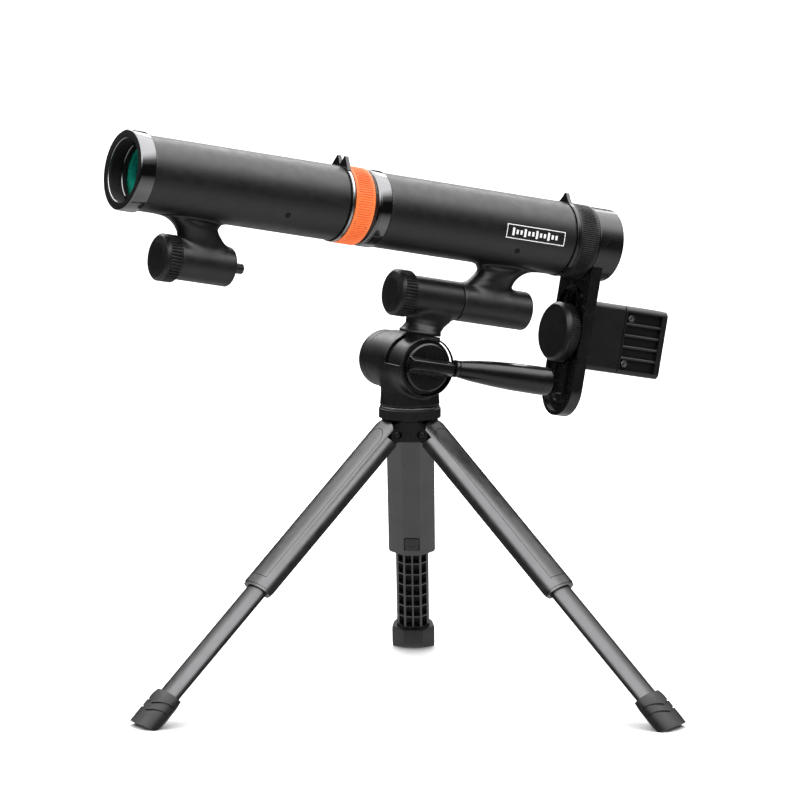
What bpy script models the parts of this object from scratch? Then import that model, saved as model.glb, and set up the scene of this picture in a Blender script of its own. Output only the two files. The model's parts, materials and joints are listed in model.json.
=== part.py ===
"""Spotting telescope made of two joined monoculars on a small folding tripod.

Every length is in millimetres and is multiplied by MM when a mesh is finished.
World frame: floor at z = 0, objective towards -x, origin below the middle of
the overall length; the pan axis stands upright at x = PAN_AXIS_X.
Tilting frame: origin on the tilt axis, local x runs along the tube towards the
eye end, local z points away from the tripod, local y is the tilt axis.
"""
import math

import bmesh
import bpy
from mathutils import Matrix, Vector

MM = 0.001

# ---- overall stance -------------------------------------------------------
PAN_AXIS_X = 12.7
TUBE_PITCH = math.radians(10.67)
LEG_AZIMUTHS = (60.0, 180.0, 300.0)
LEG_FROM_VERTICAL = math.radians(45.34)
LEG_PIVOT_RADIUS = 14.1
LEG_PIVOT_HEIGHT = 163.4
HUB_TOP = 178.3
TILT_HEIGHT = 204.5

# ---- heights above the tilt axis and the sideways place of the telescope --
TUBE_RISE = 88.0
BARREL_RISE = 41.3
STUD_RISE = 32.2
TELESCOPE_SIDE = -6.0

# ---- radii of the optical tubes -------------------------------------------
TUBE_RADIUS = 22.3
TUBE_BORE = 20.3
FRONT_RING_RADIUS = 23.7
REAR_RING_RADIUS = 23.0
BARREL_RADIUS = 11.7
SCREW_RADIUS = 3.1
SCREW_BORE = 3.5
KNOB_RADIUS = 14.0

# ---- stations along the tube ----------------------------------------------
FRONT_FACE = -213.8
FRONT_TUBE_START = -203.5
FRONT_TUBE_END = -73.0
SIGHT_START = -72.7
SIGHT_END = -70.3
FRONT_FOCUS_START = -70.0
FRONT_FOCUS_END = -57.0
EYE_COLLAR_START = -56.7
REAR_RING_START = -54.4
REAR_TUBE_START = -45.1
REAR_TUBE_END = 84.3
REAR_FOCUS_START = 87.2
REAR_FOCUS_END = 100.9
SLEEVE_START = 101.3
SLEEVE_END = 118.4

# ---- tripod legs, measured down the leg from its hinge --------------------
UPPER_LEG_TOP = -5.0
UPPER_LEG_END = 125.7
LOWER_LEG_TOP = 105.0
LOWER_LEG_END = 215.0
FOOT_START = 208.5
PIN_RADIUS = 2.0
PIN_BORE = 2.3

# ---- phone arm and clip ----------------------------------------------------
ARM_WIDTH = 35.0
ARM_THICKNESS = 7.2
ARM_BOTTOM = -18.5
CLIP_START = 109.0
CLIP_SPLIT = 135.5
CLIP_END = 165.7
CLIP_HALF_HEIGHT = 20.8
CLIP_RISE = 0.6

GAP = 0.3
ROUND = 28
HEAD_ROUND = 32

FINISHES = {
    "black_plastic": ((0.018, 0.018, 0.019, 1.0), 0.48, 0.0),
    "satin_black": ((0.014, 0.014, 0.015, 1.0), 0.34, 0.0),
    "tube_black": ((0.020, 0.020, 0.021, 1.0), 0.42, 0.35),
    "leg_grey": ((0.085, 0.085, 0.088, 1.0), 0.40, 0.30),
    "rubber": ((0.040, 0.040, 0.041, 1.0), 0.72, 0.0),
    "chrome": ((0.72, 0.72, 0.74, 1.0), 0.10, 1.0),
    "steel": ((0.45, 0.45, 0.46, 1.0), 0.28, 1.0),
    "orange": ((0.90, 0.17, 0.025, 1.0), 0.40, 0.0),
    "coated_glass": ((0.01, 0.16, 0.13, 1.0), 0.05, 0.0),
}


# ---------------------------------------------------------------- frames ---
def shift(x=0.0, y=0.0, z=0.0):
    """Translation given in millimetres."""
    return Matrix.Translation(Vector((x, y, z)) * MM)


def hub_top_frame():
    return shift(x=PAN_AXIS_X, z=HUB_TOP)


def tilt_frame():
    return shift(x=PAN_AXIS_X, z=TILT_HEIGHT) @ Matrix.Rotation(TUBE_PITCH, 4, "Y")


def tube_frame():
    return tilt_frame() @ shift(y=TELESCOPE_SIDE, z=TUBE_RISE)


def barrel_frame():
    return tilt_frame() @ shift(y=TELESCOPE_SIDE, z=BARREL_RISE)


def stud_frame():
    return tilt_frame() @ shift(y=TELESCOPE_SIDE, z=STUD_RISE)


def leg_frame(azimuth):
    """Origin on the hinge, local x down the leg, local z the outer side."""
    turn = Matrix.Rotation(math.radians(azimuth), 4, "Z")
    lean = Matrix.Rotation(math.pi / 2 - LEG_FROM_VERTICAL, 4, "Y")
    return shift(x=PAN_AXIS_X) @ turn @ shift(LEG_PIVOT_RADIUS, 0.0, LEG_PIVOT_HEIGHT) @ lean


# ------------------------------------------------------------- mesh tools --
def material(finish):
    """One Principled material for each named finish."""
    known = bpy.data.materials.get(finish)
    if known:
        return known
    colour, roughness, metallic = FINISHES[finish]
    made = bpy.data.materials.new(finish)
    made.use_nodes = True
    shader = made.node_tree.nodes["Principled BSDF"]
    shader.inputs["Base Color"].default_value = colour
    shader.inputs["Roughness"].default_value = roughness
    shader.inputs["Metallic"].default_value = metallic
    made.diffuse_color = colour
    return made


def solid(bm, name="tool"):
    """Turn a bmesh drawn in millimetres into an object."""
    bmesh.ops.recalc_face_normals(bm, faces=bm.faces)
    mesh = bpy.data.meshes.new(name)
    bm.to_mesh(mesh)
    bm.free()
    made = bpy.data.objects.new(name, mesh)
    bpy.context.scene.collection.objects.link(made)
    return made


def combine(base, other, operation):
    """Boolean of two solids; the second one is used up."""
    change = base.modifiers.new("change", "BOOLEAN")
    change.operation = operation
    change.solver = "EXACT"
    change.object = other
    bpy.context.view_layer.update()
    evaluated = base.evaluated_get(bpy.context.evaluated_depsgraph_get())
    result = bpy.data.meshes.new_from_object(evaluated)
    base.modifiers.clear()
    base.data = result
    bpy.data.objects.remove(other)
    return base


def cut(base, *others):
    for other in others:
        combine(base, other, "DIFFERENCE")
    return base


def join(base, *others):
    for other in others:
        combine(base, other, "UNION")
    return base


def keep(base, other):
    return combine(base, other, "INTERSECT")


def finish(piece, name, finish_name, frame=None, sharp_angle=32.0):
    """Name a solid, scale it to metres, place it and give it its finish."""
    piece.name = name
    piece.data.name = name
    bm = bmesh.new()
    bm.from_mesh(piece.data)
    bmesh.ops.remove_doubles(bm, verts=bm.verts, dist=0.004)
    bmesh.ops.scale(bm, vec=(MM, MM, MM), verts=bm.verts)
    bm.to_mesh(piece.data)
    bm.free()
    piece.data.materials.clear()
    piece.data.materials.append(material(finish_name))
    piece.data.shade_smooth()
    piece.data.set_sharp_from_angle(angle=math.radians(sharp_angle))
    piece.matrix_world = frame if frame is not None else Matrix.Identity(4)
    return piece


# ----------------------------------------------------------------- shapes --
AXIS_TURNS = {
    "X": Matrix.Identity(4),
    "Y": Matrix.Rotation(math.pi / 2, 4, "Z"),
    "Z": Matrix.Rotation(-math.pi / 2, 4, "Y"),
}


def place(bm, axis, centre):
    bmesh.ops.transform(bm, matrix=AXIS_TURNS[axis], verts=bm.verts)
    bmesh.ops.translate(bm, vec=Vector(centre), verts=bm.verts)


def turned(profile, axis="X", centre=(0, 0, 0), segments=ROUND):
    """Revolve (station, radius) points; a zero radius closes the end."""
    bm = bmesh.new()
    rings = []
    for station, radius in profile:
        if radius == 0:
            rings.append([bm.verts.new((station, 0, 0))])
            continue
        ring = []
        for step in range(segments):
            angle = 2 * math.pi * step / segments
            ring.append(bm.verts.new((station, radius * math.cos(angle), radius * math.sin(angle))))
        rings.append(ring)
    pairs = list(zip(rings, rings[1:]))
    if len(rings[0]) > 1 and len(rings[-1]) > 1:
        pairs.append((rings[-1], rings[0]))
    for first, second in pairs:
        for step in range(segments):
            following = (step + 1) % segments
            corners = [first[step % len(first)], first[following % len(first)],
                       second[following % len(second)], second[step % len(second)]]
            corners = list(dict.fromkeys(corners))
            if len(corners) > 2:
                bm.faces.new(corners)
    place(bm, axis, centre)
    return solid(bm)


def rod(start, end, radius, axis="X", centre=(0, 0, 0), segments=ROUND, chamfer=0.0):
    """Plain cylinder with an optional chamfer at both ends."""
    if chamfer:
        profile = [(start, 0), (start, radius - chamfer), (start + chamfer, radius),
                   (end - chamfer, radius), (end, radius - chamfer), (end, 0)]
    else:
        profile = [(start, 0), (start, radius), (end, radius), (end, 0)]
    return turned(profile, axis, centre, segments)


def loft(sections):
    """Skin a list of equally long point loops and close both ends."""
    bm = bmesh.new()
    loops = [[bm.verts.new(point) for point in section] for section in sections]
    count = len(loops[0])
    for first, second in zip(loops, loops[1:]):
        for step in range(count):
            following = (step + 1) % count
            bm.faces.new((first[step], first[following], second[following], second[step]))
    bm.faces.new(loops[0])
    bm.faces.new(list(reversed(loops[-1])))
    return solid(bm)


def prism_x(outline, start, end):
    """Extrude a (y, z) outline along x."""
    return loft([[(x, y, z) for y, z in outline] for x in (start, end)])


def prism_y(outline, start, end):
    """Extrude an (x, z) outline along y."""
    return loft([[(x, y, z) for x, z in outline] for y in (start, end)])


def prism_z(outline, start, end):
    """Extrude an (x, y) outline along z."""
    return loft([[(x, y, z) for x, y in outline] for z in (start, end)])


def box(x0, x1, y0, y1, z0, z1):
    return prism_z([(x0, y0), (x1, y0), (x1, y1), (x0, y1)], z0, z1)


def rounded_rectangle(half_a, half_b, radius, centre=(0.0, 0.0), steps=5):
    """Outline of a rectangle with round corners."""
    points = []
    corners = ((1, 1, 0), (-1, 1, 90), (-1, -1, 180), (1, -1, 270))
    for sign_a, sign_b, begin in corners:
        for step in range(steps + 1):
            angle = math.radians(begin + 90 * step / steps)
            points.append((centre[0] + sign_a * (half_a - radius) + radius * math.cos(angle),
                           centre[1] + sign_b * (half_b - radius) + radius * math.sin(angle)))
    return points


def ellipse_section(height, middle, half_length, half_width, count=24):
    """Horizontal ellipse used to loft the bracket necks."""
    points = []
    for step in range(count):
        angle = 2 * math.pi * step / count
        points.append((middle + half_length * math.cos(angle),
                       half_width * math.sin(angle), height))
    return points


def toothed_ring(start, end, tip, root, bore, teeth):
    """Ring along x with straight ribs around it."""
    count = teeth * 4
    loops = []
    for station, radii in ((start, (root, tip)), (end, (root, tip))):
        outer = []
        inner = []
        for step in range(count):
            angle = 2 * math.pi * (step + 0.5) / count
            radius = radii[0] if step % 4 in (0, 1) else radii[1]
            outer.append((station, radius * math.cos(angle), radius * math.sin(angle)))
            inner.append((station, bore * math.cos(angle), bore * math.sin(angle)))
        loops.append((outer, inner))
    bm = bmesh.new()
    near_outer, near_inner = [[bm.verts.new(p) for p in loop] for loop in loops[0]]
    far_outer, far_inner = [[bm.verts.new(p) for p in loop] for loop in loops[1]]
    bands = ((near_inner, near_outer), (near_outer, far_outer),
             (far_outer, far_inner), (far_inner, near_inner))
    for first, second in bands:
        for step in range(count):
            following = (step + 1) % count
            bm.faces.new((first[step], first[following], second[following], second[step]))
    return solid(bm)


# ---------------------------------------------------------------- tripod ---
def leg_section(half_width, flat_half, inner, side, crown, power, steps=11):
    """Leg cross-section: three flats inside and one rounded outer side."""
    points = [(-flat_half, inner), (flat_half, inner)]
    for step in range(steps + 1):
        y = half_width * math.cos(math.pi * step / steps)
        rise = (1 - min(1.0, abs(y / half_width)) ** power) ** (1 / power)
        points.append((y, side + crown * rise))
    return points


def upper_section(inset=0.0):
    return leg_section(14.4 - inset, 5.2, -6.0 + inset, -2.0, 8.8 - inset, 3.0)


def lower_section(grow=0.0):
    return leg_section(10.15 + grow, 5.0, -3.7 - grow, -1.0, 5.7 + grow, 2.4)


def hub():
    """Leg hub: round rim, core and three pairs of hinge lugs."""
    body = turned([(158.8, 6.8), (158.8, 16.5), (159.3, 17.0), (172.2, 17.0), (172.2, 18.3), (172.6, 18.7),
                   (177.8, 18.7), (HUB_TOP, 18.2), (HUB_TOP, 4.3), (167.0, 4.3), (167.0, 6.8)],
                  axis="Z")
    for azimuth in LEG_AZIMUTHS:
        turn = Matrix.Rotation(math.radians(azimuth), 4, "Z")
        tongue_slot = box(8.6, 20, -7.0, 7.0, 150, 172.4)
        cover_room = prism_y([(11.8, 172.2), (25.9, 158.2), (30, 158.2), (30, 172.2)], -12.6, 12.6)
        for room in (tongue_slot, cover_room):
            room.data.transform(turn)
            cut(body, room)
    arc = []
    for step in range(7):
        angle = math.radians(95 - 185 * step / 6)
        arc.append((LEG_PIVOT_RADIUS + 4.6 * math.cos(angle), LEG_PIVOT_HEIGHT + 4.6 * math.sin(angle)))
    outline = [(7.5, 174.0), (13.0, 174.0)] + arc + [(9.5, 159.4), (7.5, 159.4)]
    for azimuth in LEG_AZIMUTHS:
        turn = Matrix.Rotation(math.radians(azimuth), 4, "Z")
        for side in (-1, 1):
            near, far = sorted((side * 7.0, side * 10.6))
            lug = prism_y(outline, near, far)
            lug.data.transform(turn)
            join(body, lug)
    for azimuth in LEG_AZIMUTHS:
        pin_hole = rod(-12, 12, PIN_BORE, "Y", (LEG_PIVOT_RADIUS, 0, LEG_PIVOT_HEIGHT), 12)
        pin_hole.data.transform(Matrix.Rotation(math.radians(azimuth), 4, "Z"))
        cut(body, pin_hole)
    return finish(body, "hub", "black_plastic", shift(x=PAN_AXIS_X))


def hinge_pin(azimuth, number):
    pin = rod(-10.6, 10.6, PIN_RADIUS, "Y", segments=12, chamfer=0.3)
    return finish(pin, f"hinge_pin_{number}", "steel", leg_frame(azimuth))


def panel_outline(margin=0.0):
    """U-shaped outline of the leg cover in leg length and width."""
    half = 8.6 + margin
    points = [(118.0 + margin, -half), (118.0 + margin, half)]
    for step in range(10):
        angle = math.radians(90 + 180 * step / 9)
        points.append((11.0 + half * math.cos(angle), half * math.sin(angle)))
    return points


def upper_leg(azimuth, number):
    """Hollow upper leg with its hinge tongue."""
    body = prism_x(upper_section(), UPPER_LEG_TOP, UPPER_LEG_END - 1.6)
    plan = [(UPPER_LEG_END + 1, -20), (UPPER_LEG_END + 1, 20)]
    for step in range(11):
        angle = math.radians(90 + 180 * step / 10)
        plan.append((8.6 + 13.6 * math.cos(angle), 14.6 * math.sin(angle)))
    keep(body, prism_z(plan, -12, 14))
    cut(body, box(-8, 6, -20, 20, -10, 5.0))
    tongue_side = [(9.0, -5.5), (9.0, 6.0), (0.0, 5.2)]
    for step in range(8):
        angle = math.radians(100 + 155 * step / 7)
        tongue_side.append((4.7 * math.cos(angle), 4.7 * math.sin(angle)))
    tongue = prism_y(tongue_side, -6.7, 6.7)
    join(body, tongue)
    join(body, prism_x(upper_section(-0.35), UPPER_LEG_END - 1.8, UPPER_LEG_END))
    cut(body, prism_x(lower_section(0.35), 24.0, UPPER_LEG_END + 1))
    cut(body, rod(-12, 12, PIN_BORE, "Y", segments=12))
    cut(body, box(106.2, 119.8, -4.9, 4.9, -9, -3.5))
    recess = prism_z(panel_outline(GAP), -2, 14)
    cut(recess, prism_x(upper_section(0.95), -20, 140))
    cut(body, recess)
    return finish(body, f"upper_leg_{number}", "leg_grey", leg_frame(azimuth))


def leg_panel(azimuth, number):
    """Curved cover let into the outer side of the upper leg."""
    body = prism_x(upper_section(-0.05), 0, 122)
    cut(body, prism_x(upper_section(0.65), -20, 140))
    keep(body, prism_z(panel_outline(), 1.5, 14))
    return finish(body, f"leg_panel_{number}", "leg_grey", leg_frame(azimuth))


def lower_leg(azimuth, number):
    """Sliding lower leg with a ribbed inner side."""
    body = prism_x(lower_section(), LOWER_LEG_TOP, LOWER_LEG_END)
    first_row = 126.5
    row_pitch = 11.6
    for row in range(7):
        start = first_row + row * row_pitch
        for low, high, depth in ((-8.7, -5.7, 0.6), (-4.4, -0.5, -1.0), (0.5, 4.4, -1.0), (5.7, 8.7, 0.6)):
            cut(body, box(start, start + row_pitch - 1.2, low, high, -7.0, depth))
    return finish(body, f"lower_leg_{number}", "leg_grey", leg_frame(azimuth))


# Underside of a foot in the leg's upright plane: distance from the pan axis and height.
SOLE_INNER = (172.1, 0.0)
SOLE_OUTER = (178.6, 0.0)
SOLE_HEEL = (142.1, 18.9)
SOLE_TOE = (195.3, 9.4)


def foot(azimuth, number):
    """Rubber boot with a short flat sole and a raised toe."""
    side = -1.6
    sections = []
    for station, half_width, inner, crown in ((FOOT_START, 12.9, -5.4, 7.8), (212.0, 13.5, -6.0, 8.4),
                                              (226.0, 13.5, -6.4, 8.6), (236.5, 12.9, -6.4, 8.4)):
        outline = leg_section(half_width, 6.0, inner, side, crown, 2.6)
        sections.append([(station, y, z) for y, z in outline])
    body = loft(sections)
    cut(body, prism_x(lower_section(0.2), FOOT_START - 1, LOWER_LEG_END + 0.5))
    for station in (214.0, 219.5):
        groove = prism_z([(station, -15), (station + 5.0, 0), (station, 15), (station + 1.3, 15),
                          (station + 6.3, 0), (station + 1.3, -15)], 1.5, 14)
        cut(groove, prism_x(leg_section(12.9, 6.0, -5.6, side, 7.8, 2.6), 200, 260))
        cut(body, groove)
    below = prism_y([SOLE_HEEL, SOLE_INNER, SOLE_OUTER, SOLE_TOE, (SOLE_TOE[0], -60), (SOLE_HEEL[0], -60)], -40, 40)
    to_leg = leg_frame(0).inverted() @ shift(x=PAN_AXIS_X)
    to_leg.translation = to_leg.translation / MM
    below.data.transform(to_leg)
    cut(body, below)
    return finish(body, f"foot_{number}", "rubber", leg_frame(azimuth))


def lock_button(azimuth, number):
    """Push button that frees the lower leg."""
    button = prism_z(rounded_rectangle(6.4, 4.5, 1.0), -6.4, -4.8)
    frame = leg_frame(azimuth) @ shift(113.0)
    return finish(button, f"lock_button_{number}", "black_plastic", frame)


# ------------------------------------------------------------------ head ---
HOUSING_RADIUS = 18.2
HOUSING_BORE = 17.2
HOUSING_NEAR = -22.2
HOUSING_FAR = 21.3


def pan_bolt():
    bolt = turned([(159.6, 0), (159.6, 6.0), (160.1, 6.4), (166.4, 6.4), (166.4, 4.0),
                   (185.4, 4.0), (185.4, 0)], axis="Z", segments=32)
    bolt.data.transform(Matrix.Translation((0, 0, -HUB_TOP)))
    return finish(bolt, "pan_bolt", "steel", hub_top_frame())


def pan_washer():
    washer = turned([(GAP, 4.4), (GAP, 18.0), (1.1, 18.0), (1.1, 4.4)], "Z")
    return finish(washer, "pan_washer", "satin_black", hub_top_frame())


def pan_body():
    """Neck and open-topped housing that carries the tilting drum."""
    axis = TILT_HEIGHT - HUB_TOP
    body = turned([(7.6, 0), (7.6, 4.3), (1.4, 4.3), (1.4, 17.6), (1.9, 18.1), (5.0, 17.7), (10.0, 17.4), (16.0, 17.9),
                   (24.0, 17.9), (24.0, 0)], axis="Z", segments=HEAD_ROUND)
    join(body, rod(HOUSING_NEAR, HOUSING_FAR, HOUSING_RADIUS, "Y", (0, 0, axis), HEAD_ROUND, 0.6))
    cut(body, turned([(HOUSING_NEAR - 1, 0), (HOUSING_NEAR - 1, HOUSING_BORE), (-0.9, HOUSING_BORE),
                      (-0.9, 6.3), (HOUSING_FAR + 1, 6.3), (HOUSING_FAR + 1, 0)],
                     "Y", (0, 0, axis), HEAD_ROUND))
    cut(body, box(-30, 30, -19.7, -1.2, axis + 2.0, axis + 30))
    return finish(body, "pan_body", "black_plastic", hub_top_frame())


def tilt_drum():
    """Drum inside the housing with the pedestal for the adapter."""
    drum = turned([(-19.3, 6.1), (-19.3, 16.5), (-18.9, 16.9), (-3.2, 16.9), (-3.0, 15.4),
                   (-1.3, 15.4), (-1.3, 6.1)], axis="Y")
    pedestal = box(-8, 8, -18.4, -1.9, 12, 18.6)
    join(drum, pedestal)
    cut(drum, rod(9, 30, SCREW_BORE, "Z", (0, TELESCOPE_SIDE, 0), 24))
    return finish(drum, "tilt_drum", "satin_black", tilt_frame())


def tilt_shaft():
    shaft = rod(-18.9, 32.6, 5.8, "Y", segments=32, chamfer=0.4)
    return finish(shaft, "tilt_shaft", "steel", tilt_frame())


def tilt_cap():
    cap = turned([(21.6, 6.1), (21.6, 17.2), (32.8, 17.2), (33.8, 16.2), (33.8, 0), (33.0, 0), (33.0, 6.1)],
                 axis="Y")
    return finish(cap, "tilt_cap", "black_plastic", tilt_frame())


HANDLE_SIDE = -27.7
HANDLE_RISE = 2.0


def handle_root():
    """Round end plate with the raised lever that the handle screws into."""
    plate = rod(-22.8, -19.6, 14.7, "Y", chamfer=0.4)
    lever = prism_x([(-22.5, -4.6), (-22.5, 5.8), (-30.6, 4.0), (-30.6, -1.6)], -14.4, 14.1)
    join(plate, lever)
    cut(plate, rod(5.3, 15.3, 2.1, "X", (0, HANDLE_SIDE, HANDLE_RISE), 20))
    return finish(plate, "handle_root", "satin_black", tilt_frame())


def handle_stud():
    """Threaded stud with the dark collar between lever and grip."""
    stud = turned([(5.7, 0), (5.7, 1.8), (14.4, 1.8), (14.4, 4.6), (14.9, 5.2), (16.2, 5.2),
                   (16.6, 4.7), (16.6, 2.4), (37.3, 2.4), (37.3, 0)], segments=20)
    return finish(stud, "handle_stud", "satin_black", tilt_frame() @ shift(y=HANDLE_SIDE, z=HANDLE_RISE))


def handle_grip():
    grip = turned([(16.9, 2.7), (16.9, 4.7), (17.7, 5.3), (27.3, 6.3), (42.0, 7.6), (56.0, 8.3),
                   (74.0, 8.6), (79.4, 8.5), (80.5, 7.6), (80.5, 0), (38.3, 0), (38.3, 2.7)],
                  segments=24)
    return finish(grip, "handle_grip", "satin_black", tilt_frame() @ shift(y=HANDLE_SIDE, z=HANDLE_RISE))


# --------------------------------------------------------------- adapter ---
ADAPTER_START = -12.6
ADAPTER_END = 20.6
KNOB_LENGTH = 12.0
KNOB_PLAIN = 5.4


def adapter():
    """Bracket that holds the telescope above the tilting drum."""
    side = TELESCOPE_SIDE
    sections = []
    for height, middle, half_length, half_width in (
            (18.9, 0.0, 12.7, 12.7), (20.2, 0.0, 12.7, 12.7), (21.6, 0.6, 12.0, 11.4),
            (24.5, 2.4, 12.2, 9.8), (28.0, 4.0, 14.4, 9.0), (31.0, 4.2, 16.0, 9.0), (38.0, 4.2, 16.0, 8.6)):
        section = ellipse_section(height, middle, half_length, half_width)
        sections.append([(x, y + side, z) for x, y, z in section])
    body = loft(sections)
    barrel = rod(ADAPTER_START, ADAPTER_END, BARREL_RADIUS, "X", (0, side, BARREL_RISE), chamfer=0.4)
    join(body, barrel)
    cut(body, box(ADAPTER_END, 40, side - 20, side + 20, 25, 60))
    cut(body, rod(ADAPTER_START - 1, ADAPTER_END + 1, SCREW_BORE, "X", (0, side, BARREL_RISE), 24))
    cut(body, rod(17, 27.5, SCREW_BORE, "Z", (0, side, 0), 24))
    return finish(body, "adapter", "black_plastic", tilt_frame())


def mount_stud():
    stud = rod(9.6, 27.0, SCREW_RADIUS, "Z", segments=18, chamfer=0.3)
    return finish(stud, "mount_stud", "steel", tilt_frame() @ shift(y=TELESCOPE_SIDE))


def clamp_knob(start, name):
    """Thumb knob: plain domed end and a ribbed band, bored for its screw."""
    knob = turned([(start, 0), (start, 12.2), (start + 0.8, 13.4), (start + 2.2, KNOB_RADIUS),
                   (start + KNOB_PLAIN, KNOB_RADIUS), (start + KNOB_PLAIN, 0)])
    band = toothed_ring(start + KNOB_PLAIN - 0.2, start + KNOB_LENGTH, KNOB_RADIUS - 0.1, KNOB_RADIUS - 0.7,
                        SCREW_BORE, 14)
    join(knob, band)
    return finish(knob, name, "black_plastic", barrel_frame())


def clamp_screw(start, end, name):
    screw = rod(start, end, SCREW_RADIUS, segments=18, chamfer=0.5)
    return finish(screw, name, "steel", barrel_frame())


# ------------------------------------------------------------- monoculars --
# Bracket neck: height below the tube's axis, near and far edge from the notch, and half width.
NECK = ((-16.0, 2.0, 30.0, 8.0), (-22.4, -3.0, 41.0, 8.0), (-24.0, -1.8, 33.0, 9.0), (-26.0, 0.0, 28.4, 9.4),
        (-28.6, -1.6, 24.2, 9.0), (-32.0, -4.2, 24.1, 8.6), (-35.0, -8.0, 24.0, 8.6), (-42.5, -8.2, 23.9, 9.0))
FRONT_NOTCH = -147.0
REAR_NOTCH = 33.3


def monocular_tube(name, start, end, notch, facing, barrel_start, barrel_end, barrel_bore_end):
    """Tube shell with its neck and its hinge barrel; facing is the neck's direction from its notch."""
    drop = BARREL_RISE - TUBE_RISE
    sections = []
    for height, near, far, half_width in NECK:
        sections.append(ellipse_section(height, notch + facing * (near + far) / 2, (far - near) / 2, half_width))
    body = rod(start, end, TUBE_RADIUS)
    join(body, loft(sections))
    join(body, rod(barrel_start, barrel_end, BARREL_RADIUS, "X", (0, 0, drop), chamfer=0.7))
    cut(body, rod(start - 1, end + 1, TUBE_BORE))
    cut(body, rod(barrel_start - 1, barrel_bore_end, SCREW_BORE, "X", (0, 0, drop), 24))
    return finish(body, name, "tube_black", tube_frame())


def objective_ring(name, face, length, radius):
    """Bright ring with a dark stepped mouth and a spigot into the tube."""
    profile = [(face, 18.0), (face, radius - 0.4), (face + 0.5, radius), (face + length, radius),
               (face + length, 20.0), (face + 20.5, 20.0), (face + 20.5, 15.6),
               (face + 15.5, 15.6), (face + 15.5, 18.0)]
    return finish(turned(profile), name, "chrome", tube_frame())


def lens(name, middle, radius, edge, bulge):
    """Biconvex lens."""
    profile = []
    for share in (0.0, 0.5, 1.0):
        profile.append((middle - edge / 2 - bulge * (1 - share ** 2), radius * share))
    for share in (1.0, 0.5, 0.0):
        profile.append((middle + edge / 2 + bulge * (1 - share ** 2), radius * share))
    return finish(turned(profile, segments=24), name, "coated_glass", tube_frame())


def notch_teeth():
    """Two pointed teeth of the rear notch of the sight."""
    left = prism_x([(-11.0, 20.6), (-4.9, 28.6), (-3.9, 28.6), (0.2, 22.9), (0.2, 20.6)], SIGHT_START, SIGHT_END)
    right = prism_x([(11.0, 20.6), (4.9, 28.6), (3.9, 28.6), (-0.2, 22.9), (-0.2, 20.6)], SIGHT_START, SIGHT_END)
    return left, right


def front_sight_ring():
    body = turned([(SIGHT_START, 19.6), (SIGHT_START, 22.9), (SIGHT_END, 22.9), (SIGHT_END, 19.6)])
    join(body, *notch_teeth())
    return finish(body, "front_sight_ring", "satin_black", tube_frame())


def rear_sight_ring():
    """Ring with the pointed blade of the sight."""
    body = turned([(84.6, 19.6), (84.6, 22.8), (86.9, 22.8), (86.9, 19.6)])
    blade = prism_x([(-8.5, 20.6), (-4.0, 24.0), (-1.0, 27.6), (0.0, 28.2), (1.0, 27.6), (4.0, 24.0), (8.5, 20.6)],
                    84.6, 86.9)
    join(body, blade)
    return finish(body, "rear_sight_ring", "satin_black", tube_frame())


def focus_ring(name, start, end, tip, finish_name, teeth):
    body = toothed_ring(start, end, tip, tip - 0.5, 19.4, teeth)
    return finish(body, name, finish_name, tube_frame(), sharp_angle=25)


def front_eyepiece():
    """Fixed eye barrel of the front monocular, plugged into the rear one."""
    collar = EYE_COLLAR_START
    profile = [(-84.0, 15.3), (-84.0, 19.1), (collar, 19.1), (collar, 22.5), (collar + 2.0, 22.5),
               (collar + 2.0, 17.7), (collar + 8.8, 17.7), (collar + 8.8, 13.0), (collar - 0.2, 13.0),
               (collar - 0.2, 15.3)]
    return finish(turned(profile), "front_eyepiece", "satin_black", tube_frame())


def rear_eyepiece():
    """Fixed eye barrel of the rear monocular with its rubber-lipped cup."""
    profile = [(74.0, 15.3), (74.0, 19.1), (101.0, 19.1), (101.0, 19.9), (118.6, 19.9), (119.6, 19.0),
               (119.6, 17.2), (113.0, 13.6), (111.0, 13.0), (108.6, 13.0), (108.6, 15.3)]
    return finish(turned(profile), "rear_eyepiece", "rubber", tube_frame())


def lens_cell(name, start):
    """Sliding cell that carries the eye lens."""
    profile = [(start, 12.6), (start, 15.0), (start + 16.0, 15.0),
               (start + 16.0, 12.4), (start + 13.0, 12.4), (start + 13.0, 14.0), (start + 6.0, 14.0),
               (start + 6.0, 12.6)]
    return finish(turned(profile, segments=24), name, "satin_black", tube_frame())


# ------------------------------------------------------------- phone clip --
def phone_arm():
    """Sleeve around the eye cup with the slotted arm below it."""
    half = ARM_WIDTH / 2
    drop = ARM_BOTTOM - TUBE_RISE
    sleeve = rod(SLEEVE_START, SLEEVE_END, 22.0, chamfer=1.2)
    outline = [(-half, -10.0)]
    for step in range(13):
        angle = math.radians(180 + 180 * step / 12)
        outline.append((half * math.cos(angle), drop + half + half * math.sin(angle)))
    outline.append((half, -10.0))
    join(sleeve, prism_x(outline, SLEEVE_START, SLEEVE_START + ARM_THICKNESS))
    inner = rounded_rectangle(half - 2.2, 39.0, half - 2.3, (0.0, drop + 41.2), 6)
    cut(sleeve, prism_x(inner, SLEEVE_START - 1, SLEEVE_START + 1.2))
    boss = rounded_rectangle(7.0, 35.5, 6.9, (0.0, drop + 43.4), 6)
    join(sleeve, prism_x(boss, SLEEVE_START + 0.1, SLEEVE_START + 3.0))
    slot = rounded_rectangle(3.6, 32.0, 3.5, (0.0, drop + 43.4), 5)
    cut(sleeve, prism_x(slot, SLEEVE_START - 1, SLEEVE_START + ARM_THICKNESS + 1))
    cut(sleeve, rod(SLEEVE_START - 1, SLEEVE_END + 1, 20.3))
    return finish(sleeve, "phone_arm", "satin_black", tube_frame())


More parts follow.
